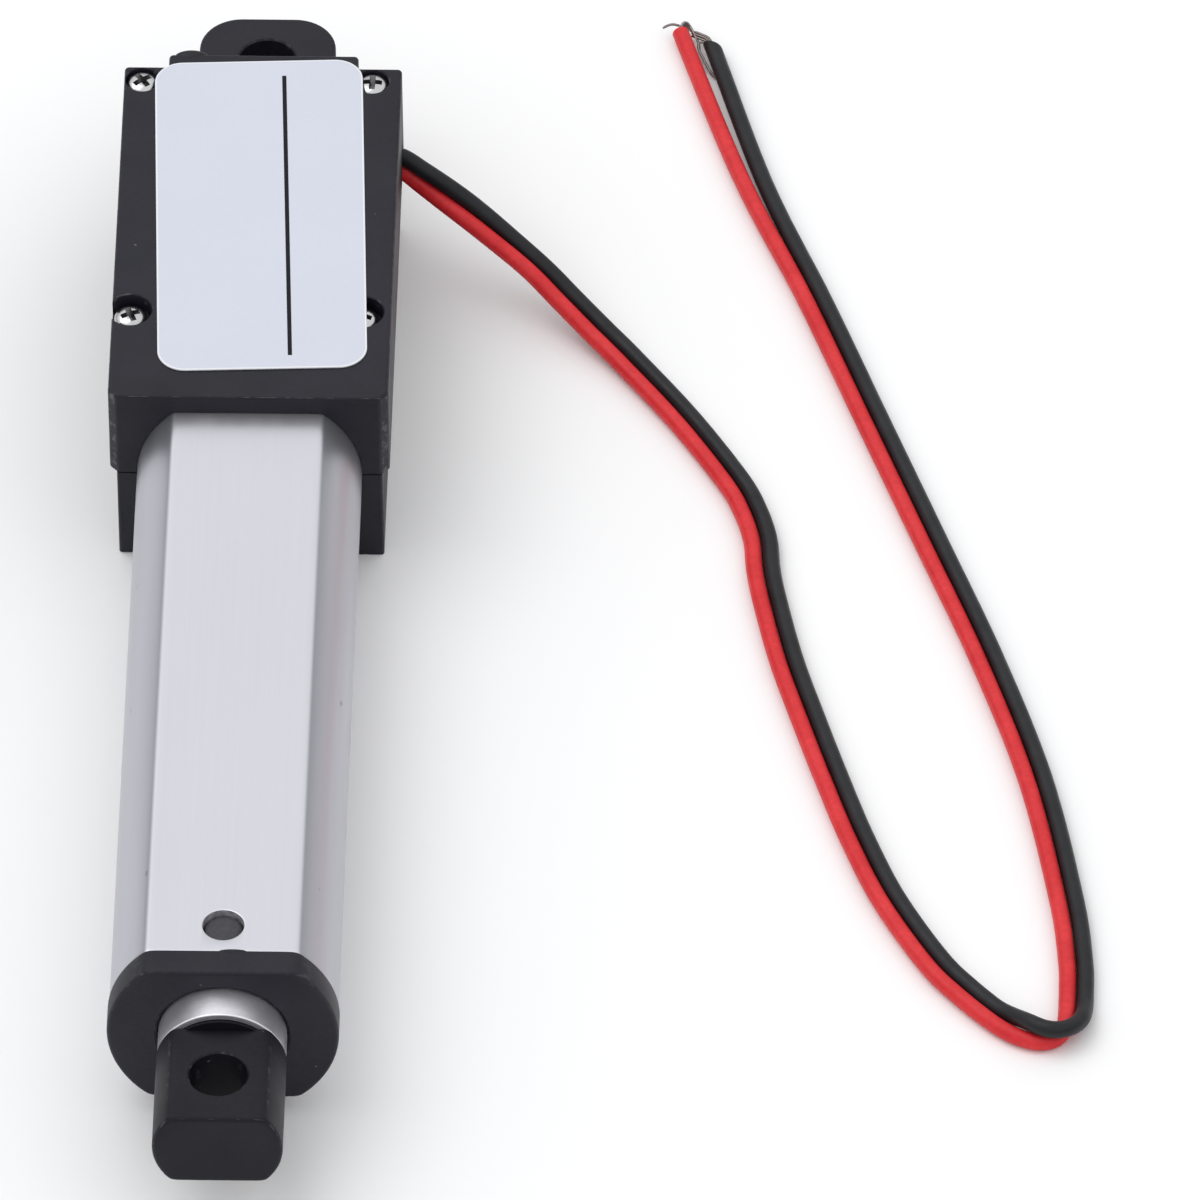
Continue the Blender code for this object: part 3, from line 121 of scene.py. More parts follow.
class ActuatorSizes(bpy.types.PropertyGroup):
    """Sizes of the parts that only the looks need."""

    housing_edge: bpy.props.FloatProperty(
        name="Housing Edge", description="Radius of the housing's moulded edges",
        default=0.00024, min=0.00005, max=0.00028, unit="LENGTH",
    )
    end_edge: bpy.props.FloatProperty(
        name="End Block Edge", description="Radius of the edges of the rod end and the rear eye",
        default=0.00035, min=0.00005, max=0.0008, unit="LENGTH",
    )
    cap_edge: bpy.props.FloatProperty(
        name="Cap Edge", description="Radius of the front cap's rim",
        default=0.00028, min=0.00005, max=0.0008, unit="LENGTH",
    )
    pin_hole: bpy.props.FloatProperty(
        name="Pin Hole", description="Diameter of the pin holes in the rod end and the rear eye",
        default=0.0041, min=0.001, max=0.006, unit="LENGTH",
    )
    latch_hole: bpy.props.FloatProperty(
        name="Latch Hole", description="Diameter of the hole in the tube that the cap's peg snaps into",
        default=0.00295, min=0.001, max=0.004, unit="LENGTH",
    )
    label_turn: bpy.props.FloatProperty(
        name="Label Turn", description="How far the label is stuck on askew",
        default=math.radians(2.4), min=-0.2, max=0.2, subtype="ANGLE",
    )
    lead_diameter: bpy.props.FloatProperty(
        name="Lead Diameter", description="Outside diameter of each lead",
        default=0.00122, min=0.0006, max=0.0013, unit="LENGTH",
    )


class ActuatorColours(bpy.types.PropertyGroup):
    """Colours of the visible finishes."""

    plastic: bpy.props.FloatVectorProperty(
        name="Black Plastic", description="Colour of the housing, the cap and the two end blocks",
        default=(0.0092, 0.0090, 0.0166), size=3, min=0, max=1, subtype="COLOR",
    )
    tube: bpy.props.FloatVectorProperty(
        name="Tube", description="Colour of the anodised tube",
        default=(0.66, 0.66, 0.705), size=3, min=0, max=1, subtype="COLOR",
    )
    rod: bpy.props.FloatVectorProperty(
        name="Rod", description="Colour of the polished rod",
        default=(0.93, 0.92, 0.97), size=3, min=0, max=1, subtype="COLOR",
    )
    label: bpy.props.FloatVectorProperty(
        name="Label", description="Colour of the label's film",
        default=(0.62, 0.645, 0.73), size=3, min=0, max=1, subtype="COLOR",
    )
    red: bpy.props.FloatVectorProperty(
        name="Red Lead", description="Colour of the red insulation",
        default=(0.66, 0.020, 0.026), size=3, min=0, max=1, subtype="COLOR",
    )
    black: bpy.props.FloatVectorProperty(
        name="Black Lead", description="Colour of the black insulation",
        default=(0.0095, 0.0100, 0.0120), size=3, min=0, max=1, subtype="COLOR",
    )


class StageSettings(bpy.types.PropertyGroup):
    """Floor, light and camera."""

    floor_grey: bpy.props.FloatProperty(
        name="Floor", description="How pale the floor is", default=0.95, min=0.2, max=1.0,
    )
    sky: bpy.props.FloatProperty(
        name="Surrounding Light", description="Strength of the even light from above",
        default=1.02, min=0.0, max=3.0,
    )
    horizon: bpy.props.FloatProperty(
        name="Horizon", description="Share of that light near the horizon",
        default=0.3, min=0.0, max=1.0,
    )
    key: bpy.props.FloatProperty(
        name="Overhead Light", description="Power of the large light above",
        default=4.0, min=0.0, unit="POWER",
    )
    focal: bpy.props.FloatProperty(
        name="Focal Length", description="Focal length of the camera in millimetres",
        default=840.0, min=10.0, max=2000.0,
    )


# Meshes

def rounded_path(corners, radii, steps=6):
    """Outline with round corners. A corner becomes an arc that starts a tangent length before it, where the
    tangent length is the radius times the tangent of half the turn. Returns the points and the outward
    normals."""
    corners = np.asarray(corners, float)
    radii = np.asarray(radii, float)[:, None]
    before = corners - np.roll(corners, 1, axis=0)
    before /= np.linalg.norm(before, axis=1)[:, None]
    after = np.roll(before, -1, axis=0)
    turn = np.arctan2(
        before[:, 0] * after[:, 1] - before[:, 1] * after[:, 0], (before * after).sum(axis=1)
    )[:, None]
    side = np.sign(turn)
    start = corners - radii * np.tan(np.abs(turn) / 2) * before
    centre = start + side * radii * np.stack([-before[:, 1], before[:, 0]], axis=1)
    heading = np.arctan2(before[:, 1], before[:, 0])[:, None] + turn * np.linspace(0, 1, steps + 1)
    normals = np.stack([np.sin(heading), -np.cos(heading)], axis=2)
    points = centre[:, None] + (side * radii)[:, None] * normals
    return points.reshape(-1, 2), normals.reshape(-1, 2)


def double_d(radius, flat, steps=320, crisp=14.0):
    """Section of a round bar with two flats: at each angle the reach is the soft minimum of the radius and of
    the flat's height over the sine, so the edge between them is a little round."""
    angle = np.linspace(0, 2 * np.pi, steps, endpoint=False) + np.pi / steps
    reach = flat / np.abs(np.sin(angle))
    rim = -np.logaddexp(-crisp * radius, -crisp * reach) / crisp
    return np.stack([rim * np.cos(angle), rim * np.sin(angle)], axis=1)


def circle(steps):
    """Points of a circle with a radius of one: cosine and sine of even angles."""
    angle = np.linspace(0, 2 * np.pi, steps, endpoint=False)
    return np.stack([np.cos(angle), np.sin(angle)], axis=1)


def turning(angle):
    """The matrix that turns points of a plan, written in rows, about the upright axis."""
    return np.array([[math.cos(angle), math.sin(angle)], [-math.sin(angle), math.cos(angle)]])


def edge_profile(start, stop, first, last, steps=5, guard=0.03):
    """Inset and station along a bar whose two end edges are quarter circles of the radii first and last.
    A narrow flat ring inside each end keeps the end face flat when it is shaded smooth."""
    arc = np.linspace(0, np.pi / 2, steps + 1)
    head = np.stack([first * (1 - np.sin(arc)), start + first * (1 - np.cos(arc))], axis=1)
    tail = np.stack([last * (1 - np.cos(arc)), stop - last * (1 - np.sin(arc))], axis=1)
    return np.vstack([[first + guard, start], head, tail, [last + guard, stop]])


def prism(outline, normals, profile):
    """Rings of an outline in X and Y: each ring is the outline moved in along its normals, at its own
    height."""
    ring = outline[None] - profile[:, 0, None, None] * normals[None]
    height = np.broadcast_to(profile[:, 1, None, None], (*ring.shape[:2], 1))
    return np.concatenate([ring, height], axis=2)


def bar(section, profile):
    """Rings of a section in X and Z along Y. The section is a function of how far it is moved in."""
    rings = np.stack([section(inset) for inset in profile[:, 0]])
    along = np.broadcast_to(profile[:, 1, None], rings.shape[:2])
    return np.stack([rings[..., 0], along, rings[..., 1] + AXIS_Z], axis=2)


def turned(profile, steps=96):
    """A profile of radius and station turned about the rod's axis: radius times cosine and sine."""
    return bar(lambda radius: radius * circle(steps), np.asarray(profile, float))


def upright(profile, x, y, steps=64):
    """A profile of radius and height turned about an upright line at x and y."""
    profile = np.asarray(profile, float)
    rings = profile[:, 0, None, None] * circle(steps)[None]
    height = np.broadcast_to(profile[:, 1, None], rings.shape[:2])
    return np.stack([rings[..., 0] + x, rings[..., 1] + y, height], axis=2)


def ellipsoid(middle, half):
    """Rings of an ellipsoid, by its two angles: half a size times their sines and cosines."""
    polar = np.linspace(0.02, np.pi - 0.02, 17)[:, None]
    around = np.linspace(0, 2 * np.pi, 32, endpoint=False)[None]
    unit = np.stack([
        np.sin(polar) * np.cos(around), np.sin(polar) * np.sin(around), -np.cos(polar) * np.ones_like(around),
    ], axis=2)
    return unit * np.asarray(half, float) + np.asarray(middle, float)


def slab(plan, bottom, top):
    """The two end rings of an upright piece: its plan at the bottom and at the top."""
    return np.stack([np.column_stack([plan, np.full(len(plan), z)]) for z in (bottom, top)])


def block(low, high):
    """The two end rings of a box."""
    plan = np.array([(low[0], low[1]), (high[0], low[1]), (high[0], high[1]), (low[0], high[1])])
    return slab(plan, low[2], high[2])


def swept(path, radius, around):
    """A round tube along a path: at each point a circle stands square to the path, with one axis level. The
    radius is one number or one for each point."""
    tangent = np.gradient(path, axis=0)
    tangent /= np.linalg.norm(tangent, axis=1)[:, None]
    side = np.cross(tangent, (0.0, 0.0, 1.0))
    side /= np.linalg.norm(side, axis=1)[:, None]
    over = np.cross(side, tangent)
    angle = np.linspace(0, 2 * np.pi, around, endpoint=False)
    radius = np.broadcast_to(np.asarray(radius, float), len(path))[:, None, None]
    return path[:, None] + radius * (
        np.cos(angle)[None, :, None] * side[:, None] + np.sin(angle)[None, :, None] * over[:, None]
    )


def placed(name, data):
    """An object in the scene that holds a mesh, a lamp or a camera."""
    item = bpy.data.objects.new(name, data)
    bpy.context.scene.collection.objects.link(item)
    return item


def solid(name, grid, loop=False):
    """A closed mesh from rings of points: quads between neighbouring rings, and a flat face at each end, or
    the last ring joined to the first."""
    rows, columns = grid.shape[:2]
    index = np.arange(rows * columns).reshape(rows, columns)
    ahead = np.roll(index, -1, axis=0) if loop else index[1:]
    here = index if loop else index[:-1]
    quads = np.stack(
        [here, np.roll(here, -1, axis=1), np.roll(ahead, -1, axis=1), ahead], axis=2
    ).reshape(-1, 4)
    faces = quads.tolist()
    if not loop:
        faces += [index[0, ::-1].tolist(), index[-1].tolist()]
    mesh = bpy.data.meshes.new(name)
    mesh.from_pydata((grid.reshape(-1, 3) * MM).tolist(), [], faces)
    edit = bmesh.new()
    edit.from_mesh(mesh)
    bmesh.ops.remove_doubles(edit, verts=edit.verts, dist=1e-8)
    bmesh.ops.recalc_face_normals(edit, faces=edit.faces)
    edit.to_mesh(mesh)
    edit.free()
    return placed(name, mesh)


def carve(piece, tools, operation="DIFFERENCE"):
    """Cut the tools out of the piece, or join them to it, and delete the tools."""
    for tool in tools:
        step = piece.modifiers.new(tool.name, "BOOLEAN")
        step.operation = operation
        step.solver = "EXACT"
        step.object = tool
    graph = bpy.context.evaluated_depsgraph_get()
    mesh = bpy.data.meshes.new_from_object(piece.evaluated_get(graph))
    if not mesh.polygons:
        raise RuntimeError(f"nothing is left of {piece.name}")
    edit = bmesh.new()
    edit.from_mesh(mesh)
    bmesh.ops.remove_doubles(edit, verts=edit.verts, dist=1e-6)
    bmesh.ops.dissolve_degenerate(edit, edges=edit.edges, dist=1e-7)
    edit.to_mesh(mesh)
    edit.free()
    piece.modifiers.clear()
    old = piece.data
    piece.data = mesh
    mesh.name = piece.name
    bpy.data.meshes.remove(old)
    for tool in tools:
        bpy.data.meshes.remove(tool.data)


def dress(piece, finish, body, replaces=(), sharp=34.0):
    """Give a piece its finish, shading, body and slot, and hide the solids that it stands for. The normals
    are weighted by area, so a large face looks flat between its round edges."""
    piece.data.materials.clear()
    piece.data.materials.append(finish)
    piece.data.shade_smooth()
    piece.data.set_sharp_from_angle(angle=math.radians(sharp))
    weighted = piece.modifiers.new("level_faces", "WEIGHTED_NORMAL")
    weighted.mode = "FACE_AREA"
    weighted.keep_sharp = True
    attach(piece, body)
    if replaces:
        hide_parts(*replaces)
    return piece


def repaint(piece, finish, x, y, radius, heights):
    """Give a second finish to the faces within a radius of the upright line at x and y, where their height
    is in one of the ranges."""
    piece.data.materials.append(finish)
    faces = piece.data.polygons
    middles = np.empty(len(faces) * 3)
    faces.foreach_get("center", middles)
    middles = middles.reshape(-1, 3) / MM
    near = np.hypot(middles[:, 0] - x, middles[:, 1] - y) < radius
    level = np.any([(low < middles[:, 2]) & (middles[:, 2] < high) for low, high in heights], axis=0)
    faces.foreach_set("material_index", (near & level).astype(np.int32))


# Finishes

class Finish:
    """A material built up node by node, on the piece's own coordinates."""

    def __init__(self, name, colour, roughness, metallic=0.0, **sockets):
        self.material = bpy.data.materials.new(name)
        self.material.use_nodes = True
        self.nodes = self.material.node_tree.nodes
        self.links = self.material.node_tree.links
        self.shader = self.nodes["Principled BSDF"]
        self.shader.inputs["Base Color"].default_value = (*colour, 1.0)
        self.shader.inputs["Roughness"].default_value = roughness
        self.shader.inputs["Metallic"].default_value = metallic
        for socket, value in sockets.items():
            self.shader.inputs[socket.replace("_", " ").title().replace("Ior", "IOR")].default_value = value
        self.place = self.nodes.new("ShaderNodeTexCoord").outputs["Object"]

    def noise(self, scale, detail, stretch=(1, 1, 1)):
        """Noise with features of 1/scale metres, drawn out along an axis by a small stretch value."""
        mapping = self.nodes.new("ShaderNodeMapping")
        mapping.inputs["Scale"].default_value = stretch
        self.links.new(self.place, mapping.inputs["Vector"])
        texture = self.nodes.new("ShaderNodeTexNoise")
        texture.inputs["Scale"].default_value = scale
        texture.inputs["Detail"].default_value = detail
        self.links.new(mapping.outputs["Vector"], texture.inputs["Vector"])
        return texture.outputs["Fac"]

    def ranged(self, source, low, high, start=0.3, stop=0.7):
        """The source between start and stop becomes a value from low to high."""
        node = self.nodes.new("ShaderNodeMapRange")
        for socket, value in zip(("From Min", "From Max", "To Min", "To Max"), (start, stop, low, high)):
            node.inputs[socket].default_value = value
        self.links.new(source, node.inputs["Value"])
        return node.outputs["Result"]

    def tint(self, factor, colour):
        """Blend another colour over the one so far."""
        node = self.nodes.new("ShaderNodeMix")
        node.data_type = "RGBA"
        base = self.shader.inputs["Base Color"]
        if base.is_linked:
            self.links.new(base.links[0].from_socket, node.inputs["A"])
        else:
            node.inputs["A"].default_value = base.default_value[:]
        node.inputs["B"].default_value = (*colour, 1.0)
        self.links.new(factor, node.inputs["Factor"])
        self.links.new(node.outputs["Result"], base)

    def mottle(self, noise, colour, amount, start=0.3, stop=0.7):
        """Blend another colour in where a noise is strong."""
        self.tint(self.ranged(self.noise(*noise), 0.0, amount, start, stop), colour)

    def normal_sizes(self):
        """The sizes of the three parts of the normal."""
        geometry = self.nodes.new("ShaderNodeNewGeometry")
        size = self.nodes.new("ShaderNodeVectorMath")
        size.operation = "ABSOLUTE"
        split = self.nodes.new("ShaderNodeSeparateXYZ")
        self.links.new(geometry.outputs["Normal"], size.inputs[0])
        self.links.new(size.outputs["Vector"], split.inputs["Vector"])
        return split.outputs

    def lean(self):
        """One less the largest part of the normal: nothing on a face along an axis, and more on its edges."""
        sizes = self.normal_sizes()
        largest = self.calculate("MAXIMUM", sizes["X"], sizes["Y"])
        largest = self.calculate("MAXIMUM", largest, sizes["Z"])
        return self.calculate("SUBTRACT", 1.0, largest)

    def level(self):
        """One on a level face, and nothing on an upright one."""
        return self.normal_sizes()["Z"]

    def calculate(self, operation, first, second):
        """One arithmetic step on sockets or numbers."""
        node = self.nodes.new("ShaderNodeMath")
        node.operation = operation
        for index, value in enumerate((first, second)):
            if isinstance(value, float):
                node.inputs[index].default_value = value
            else:
                self.links.new(value, node.inputs[index])
        return node.outputs["Value"]

    def rough(self, source, low, high):
        """Roughness that follows a pattern."""
        self.links.new(self.ranged(source, low, high), self.shader.inputs["Roughness"])

    def bump(self, source, depth, strength=1.0):
        """Relief of the given depth in metres over the relief so far."""
        node = self.nodes.new("ShaderNodeBump")
        node.inputs["Distance"].default_value = depth
        node.inputs["Strength"].default_value = strength
        self.links.new(source, node.inputs["Height"])
        normal = self.shader.inputs["Normal"]
        if normal.is_linked:
            self.links.new(normal.links[0].from_socket, node.inputs["Normal"])
        self.links.new(node.outputs["Normal"], normal)


def shade(colour, factor):
    """The colour made lighter or darker."""
    return tuple(min(1.0, c * factor) for c in colour)


FINISHES = {}


def moulded_plastic(name, colour, wear=0.5, gloss=0.33):
    """Fine spark-eroded grain and faint flow marks. The edges are rubbed pale in flecks: how far a face leans
    away from all three axes tells an edge, and a noise breaks it up."""
    made = Finish(name, colour, 0.5, specular_ior_level=gloss)
    made.mottle((70, 3), shade(colour, 1.7), 0.35)
    made.mottle((2600, 2), shade(colour, 0.45), 0.4)
    edges = made.ranged(made.lean(), 0.0, 1.0, 0.20, 0.29)
    flecks = made.ranged(made.noise(1700, 4), 0.0, wear, 0.50, 0.64)
    made.tint(made.calculate("MULTIPLY", edges, flecks), (0.15, 0.15, 0.16))
    made.mottle((1500, 1), (0.30, 0.30, 0.31), 0.45, 0.80, 0.83)
    made.rough(made.noise(240, 5), 0.44, 0.58)
    made.bump(made.noise(3800, 3), 0.000014, 0.4)
    made.bump(made.noise(420, 2), 0.00002, 0.12)
    return made.material


def anodised_tube(name, colour):
    """Drawn aluminium under clear anodising: faint lines along the tube, soft clouds and a few pits. The
    round sides are painted darker than the flats as painted shade, so the colour follows how level the face
    is."""
    made = Finish(name, colour, 0.32, 0.85)
    lines = made.noise(4200, 3, (1, 0.010, 1))
    made.tint(made.ranged(lines, 0.0, 0.16), shade(colour, 0.86))
    made.mottle((45, 3), shade(colour, 1.05), 0.25)
    made.mottle((380, 4, (1, 0.3, 1)), shade(colour, 0.88), 0.12)
    # painted shade: the round sides are darker than the flats, by how level the face is
    made.tint(made.ranged(made.level(), 1.0, 0.0, 0.80, 0.97), (0.47, 0.475, 0.52))
    made.mottle((1150, 1, (1, 0.45, 1)), (0.16, 0.16, 0.17), 0.5, 0.785, 0.81)
    made.rough(made.noise(700, 4, (1, 0.05, 1)), 0.32, 0.38)
    made.bump(lines, 0.000002, 0.3)
    return made.material


def punched_edge(name, colour):
    """The torn and matt wall that a punch leaves in a metal sheet."""
    made = Finish(name, colour, 0.6, 0.2)
    made.mottle((2400, 4), shade(colour, 0.45), 0.9)
    made.rough(made.noise(1800, 3), 0.5, 0.7)
    made.bump(made.noise(2600, 3), 0.00003, 0.5)
    return made.material


def polished_rod(name, colour):
    """Polished drawn metal with faint turning rings."""
    made = Finish(name, colour, 0.38, 0.9)
    rings = made.noise(2600, 2, (0.03, 1, 0.03))
    made.tint(made.ranged(rings, 0.0, 0.4), shade(colour, 0.86))
    made.mottle((3000, 2), shade(colour, 0.8), 0.3)
    made.rough(made.noise(600, 3), 0.34, 0.44)
    made.bump(rings, 0.0000015, 0.3)
    return made.material


def turned_steel(name, colour, roughness=0.25):
    """Plated steel with small scratches."""
    made = Finish(name, colour, roughness, 1.0)
    made.mottle((1500, 4), shade(colour, 0.7), 0.5)
    made.rough(made.noise(2200, 3), roughness * 0.7, roughness * 1.5)
    made.bump(made.noise(4200, 2), 0.000006, 0.3)
    return made.material


def cut_brass(name, colour):
    """Stamped or hobbed brass, a little dull."""
    made = Finish(name, colour, 0.32, 1.0)
    made.mottle((700, 4), shade(colour, 0.75), 0.6)
    made.rough(made.noise(1800, 3), 0.26, 0.42)
    made.bump(made.noise(3500, 2), 0.000005, 0.3)
    return made.material


def nylon(name, colour):
    """Natural nylon, slightly cloudy."""
    made = Finish(name, colour, 0.48, subsurface_weight=0.1)
    made.mottle((300, 3), shade(colour, 0.9), 0.5)
    made.rough(made.noise(900, 3), 0.42, 0.56)
    made.bump(made.noise(2600, 2), 0.000008, 0.3)
    return made.material


def label_film(name, colour):
    """Satin film with a faint fibre and slight waviness from the glue."""
    made = Finish(name, colour, 0.42, specular_ior_level=0.4)
    made.mottle((160, 4), shade(colour, 1.05), 0.5)
    made.mottle((3400, 2), shade(colour, 0.95), 0.25)
    made.rough(made.noise(400, 3), 0.38, 0.48)
    made.bump(made.noise(130, 2), 0.00005, 0.12)
    made.bump(made.noise(4200, 2), 0.000003, 0.3)
    return made.material


def printed_ink(name, colour):
    """Flat black ink with slightly uneven cover."""
    made = Finish(name, colour, 0.5, specular_ior_level=0.15)
    made.mottle((1900, 3), shade(colour, 1.8), 0.6)
    made.bump(made.noise(4000, 2), 0.000002, 0.3)
    return made.material


def soft_rubber(name, colour):
    """Matt rubber with fine dust."""
    made = Finish(name, colour, 0.75)
    made.mottle((800, 4), shade(colour, 2.5), 0.4)
    made.bump(made.noise(2800, 3), 0.00001, 0.3)
    return made.material


def solder_mask(name, colour):
    """Green board lacquer over a faint glass weave."""
    made = Finish(name, colour, 0.35, coat_weight=0.3)
    weave = made.nodes.new("ShaderNodeTexWave")
    weave.inputs["Scale"].default_value = 900
    made.links.new(made.place, weave.inputs["Vector"])
    made.tint(made.ranged(weave.outputs["Fac"], 0.0, 0.3), shade(colour, 1.5))
    made.bump(weave.outputs["Fac"], 0.000006, 0.3)
    return made.material


def wire_insulation(name, colour, bright):
    """Extruded PVC: smooth and soft to the touch, with a fine orange-peel skin and paler rubbed spots."""
    made = Finish(name, colour, 0.42, specular_ior_level=0.3)
    made.mottle((420, 4), bright, 0.55)
    made.mottle((2600, 3), shade(colour, 0.66), 0.35)
    made.rough(made.noise(800, 4), 0.36, 0.52)
    made.bump(made.noise(2400, 3), 0.00002, 0.35)
    return made.material


def make_finishes(colours):
    """Make every finish. Those of whole solids go by the name of their slot."""
    plastic = tuple(colours.plastic)
    FINISHES.update({
        "black_plastic": moulded_plastic("block_plastic", plastic, 0.22),
        "rod_end_plastic": moulded_plastic("rod_end_plastic", shade(plastic, 0.6), 0.3, 0.25),
        # a much paler plastic for the latch peg's top: painted highlight
        "peg_painted_highlight": moulded_plastic("peg_painted_highlight", (0.052, 0.050, 0.060), 0.22),
        "housing_plastic": moulded_plastic("housing_plastic", plastic, 0.55),
        "silver_anodised": anodised_tube("anodised_tube", tuple(colours.tube)),
        "punched_edge": punched_edge("punched_edge", (0.50, 0.50, 0.53)),
        "polished_aluminium": polished_rod("polished_rod", tuple(colours.rod)),
        "brushed_steel": turned_steel("turned_steel", (0.56, 0.56, 0.58), 0.3),
        "bright_steel": turned_steel("plated_steel", (0.62, 0.62, 0.63), 0.2),
        # a dark finish for the screws' cross recesses: painted shade
        "recess_painted_shade": turned_steel("recess_painted_shade", (0.24, 0.235, 0.24), 0.35),
        "brass": cut_brass("cut_brass", (0.72, 0.52, 0.20)),
        "white_nylon": nylon("natural_nylon", (0.78, 0.76, 0.70)),
        "label_film": label_film("satin_label", tuple(colours.label)),
        # a paler film for the label's rim: a painted highlight along its edge
        "painted_highlight_rim": label_film("label_edge_painted_highlight", (0.80, 0.81, 0.84)),
        "ink": printed_ink("printed_ink", (0.007, 0.007, 0.010)),
        "rubber": soft_rubber("seal_rubber", (0.02, 0.02, 0.02)),
        "circuit_board": solder_mask("solder_mask", (0.02, 0.17, 0.06)),
        "red_wire": wire_insulation("red_insulation", tuple(colours.red), (0.86, 0.050, 0.055)),
        "black_wire": wire_insulation("black_insulation", tuple(colours.black), (0.022, 0.023, 0.026)),
        "tinned_copper": turned_steel("tinned_strands", (0.26, 0.24, 0.23), 0.36),
    })


# Operators

class SetStage(bpy.types.Operator):
    """Make the floor, the lights and the camera"""

    bl_idname = "actuator.set_stage"
    bl_label = "Stage"

    def execute(self, context):
        stage = context.scene.actuator_stage
        reach, depth = 3000.0, 40.0
        floor = solid("floor", block((-reach, -reach, -depth), (reach, reach, 0.0)))
        grey = stage.floor_grey
        paper = Finish("floor_paper", (grey, grey, grey), 0.85)
        paper.mottle((6, 2), (grey * 0.985,) * 3, 0.4)
        paper.bump(paper.noise(900, 2), 0.00002, 0.1)
        floor.data.materials.append(paper.material)
        self.surroundings(context, stage)
        self.light(stage)
        self.camera(context, stage)
        context.scene.view_settings.view_transform = "Standard"
        return {"FINISHED"}

    def surroundings(self, context, stage):
        """A sky like the inside of a light tent, dimmer towards the horizon."""
        world = bpy.data.worlds.new("light_tent")
        world.use_nodes = True
        nodes, links = world.node_tree.nodes, world.node_tree.links
        direction = nodes.new("ShaderNodeTexCoord")
        split = nodes.new("ShaderNodeSeparateXYZ")
        rise = nodes.new("ShaderNodeMapRange")
        rise.interpolation_type = "SMOOTHSTEP"
        rise.inputs["From Max"].default_value = 0.62
        rise.inputs["To Min"].default_value = stage.horizon * stage.sky
        rise.inputs["To Max"].default_value = stage.sky
        links.new(direction.outputs["Generated"], split.inputs["Vector"])
        links.new(split.outputs["Z"], rise.inputs["Value"])
        links.new(rise.outputs["Result"], nodes["Background"].inputs["Strength"])
        nodes["Background"].inputs["Color"].default_value = (0.985, 0.99, 1.0, 1.0)
        context.scene.world = world

    def light(self, stage):
        """A square lamp that points at the origin."""
        data = bpy.data.lights.new("overhead_light", "AREA")
        data.shape = "SQUARE"
        data.size = LAMP_SIZE
        data.energy = stage.key
        lamp = placed("overhead_light", data)
        lamp.location = LAMP_PLACE
        aim = -np.array(LAMP_PLACE)
        lamp.rotation_euler = (
            math.acos(-aim[2] / np.linalg.norm(aim)), 0.0, math.atan2(aim[1], aim[0]) - math.pi / 2,
        )

    def camera(self, context, stage):
        """The camera, turned by its yaw, then its pitch, then its roll."""
        data = bpy.data.cameras.new("camera")
        data.lens = stage.focal
        data.sensor_width = 36.0
        data.clip_end = 20.0
        camera = placed("camera", data)
        yaw, pitch, roll = np.radians(CAMERA_TURN)
        level = math.cos(pitch)
        ahead = np.array([math.sin(yaw) * level, math.cos(yaw) * level, -math.sin(pitch)])
        right = np.array([math.cos(yaw), -math.sin(yaw), 0.0])
        up = np.cross(right, ahead)
        turned_right = math.cos(roll) * right + math.sin(roll) * up
        turned_up = -math.sin(roll) * right + math.cos(roll) * up
        matrix = np.eye(4)
        matrix[:3, 0], matrix[:3, 1], matrix[:3, 2] = turned_right, turned_up, -ahead
        matrix[:3, 3] = np.array(CAMERA_PLACE) * MM
        camera.matrix_world = matrix.T.tolist()
        context.scene.camera = camera


def smooth_route(points, per_span=16):
    """A cubic through the points: each span takes its end slopes from the points on either side."""
    ends = np.vstack([2 * points[0] - points[1], points, 2 * points[-1] - points[-2]])
    before, first, second, after = ends[:-3], ends[1:-2], ends[2:-1], ends[3:]
    t = (np.arange(per_span) / per_span)[None, :, None]
    before, first, second, after = (p[:, None] for p in (before, first, second, after))
    curve = 0.5 * (
        2 * first + (second - before) * t
        + (2 * before - 5 * first + 4 * second - after) * t ** 2
        + (3 * first - before - 3 * second + after) * t ** 3
    )
    return np.vstack([curve.reshape(-1, 3), points[-1:]])


def ease(value):
    """Smooth step from 0 to 1: three squares less two cubes."""
    value = np.clip(value, 0.0, 1.0)
    return value * value * (3 - 2 * value)


def lead_lines():
    """Centrelines of the black and red leads. They leave with black above red, roll flat as they come down
    and turn over once at the far bend, and the last stretch parts a little. The black one is cut shorter."""
    coming_down, turning_over, parting = 15.0, 11.0, 28.0
    line = smooth_route(LEAD_ROUTE)
    steps = np.linalg.norm(np.diff(line, axis=0), axis=1)
    along = np.concatenate([[0.0], np.cumsum(steps)])
    total = along[-1]
    crossing = along[np.argmin(line[:, 1])]
    ahead = np.empty_like(line)
    ahead[1:-1] = line[2:] - line[:-2]
    ahead[0], ahead[-1] = line[1] - line[0], line[-1] - line[-2]
    left = np.stack([-ahead[:, 1], ahead[:, 0], np.zeros(len(line))], axis=1)
    left /= np.linalg.norm(left, axis=1)[:, None]
    roll = np.pi / 2 * (1 - ease(along / coming_down))
    roll += np.pi * ease((along - crossing + turning_over / 2) / turning_over)
    half = 0.63 + 0.30 * ease((along - total + parting) / parting)
    lift = np.where(along > coming_down, half * np.abs(np.sin(roll)), 0.0)
    up = np.array([0.0, 0.0, 1.0])
    across = left * np.cos(roll)[:, None] + up * np.sin(roll)[:, None]
    centre = line + up * lift[:, None]
    offset = across * half[:, None]
    sides = {"black": centre + offset, "red": centre - offset}
    return {name: cut_at(side, along, total - LEAD_CUT[name]) for name, side in sides.items()}


def cut_at(line, along, stop):
    """The points of a line up to a length along it, with one more exactly there."""
    last = [np.interp(stop, along, line[:, axis]) for axis in range(3)]
    return np.vstack([line[along < stop - 0.2], [last]])


def lead_tip(line):
    """The last point of a lead, and the directions ahead, to the left and up there."""
    ahead = line[-1] - line[-5]
    ahead = ahead / np.linalg.norm(ahead)
    return line[-1], ahead, np.array([-ahead[1], ahead[0], 0.0]), np.array([0.0, 0.0, 1.0])


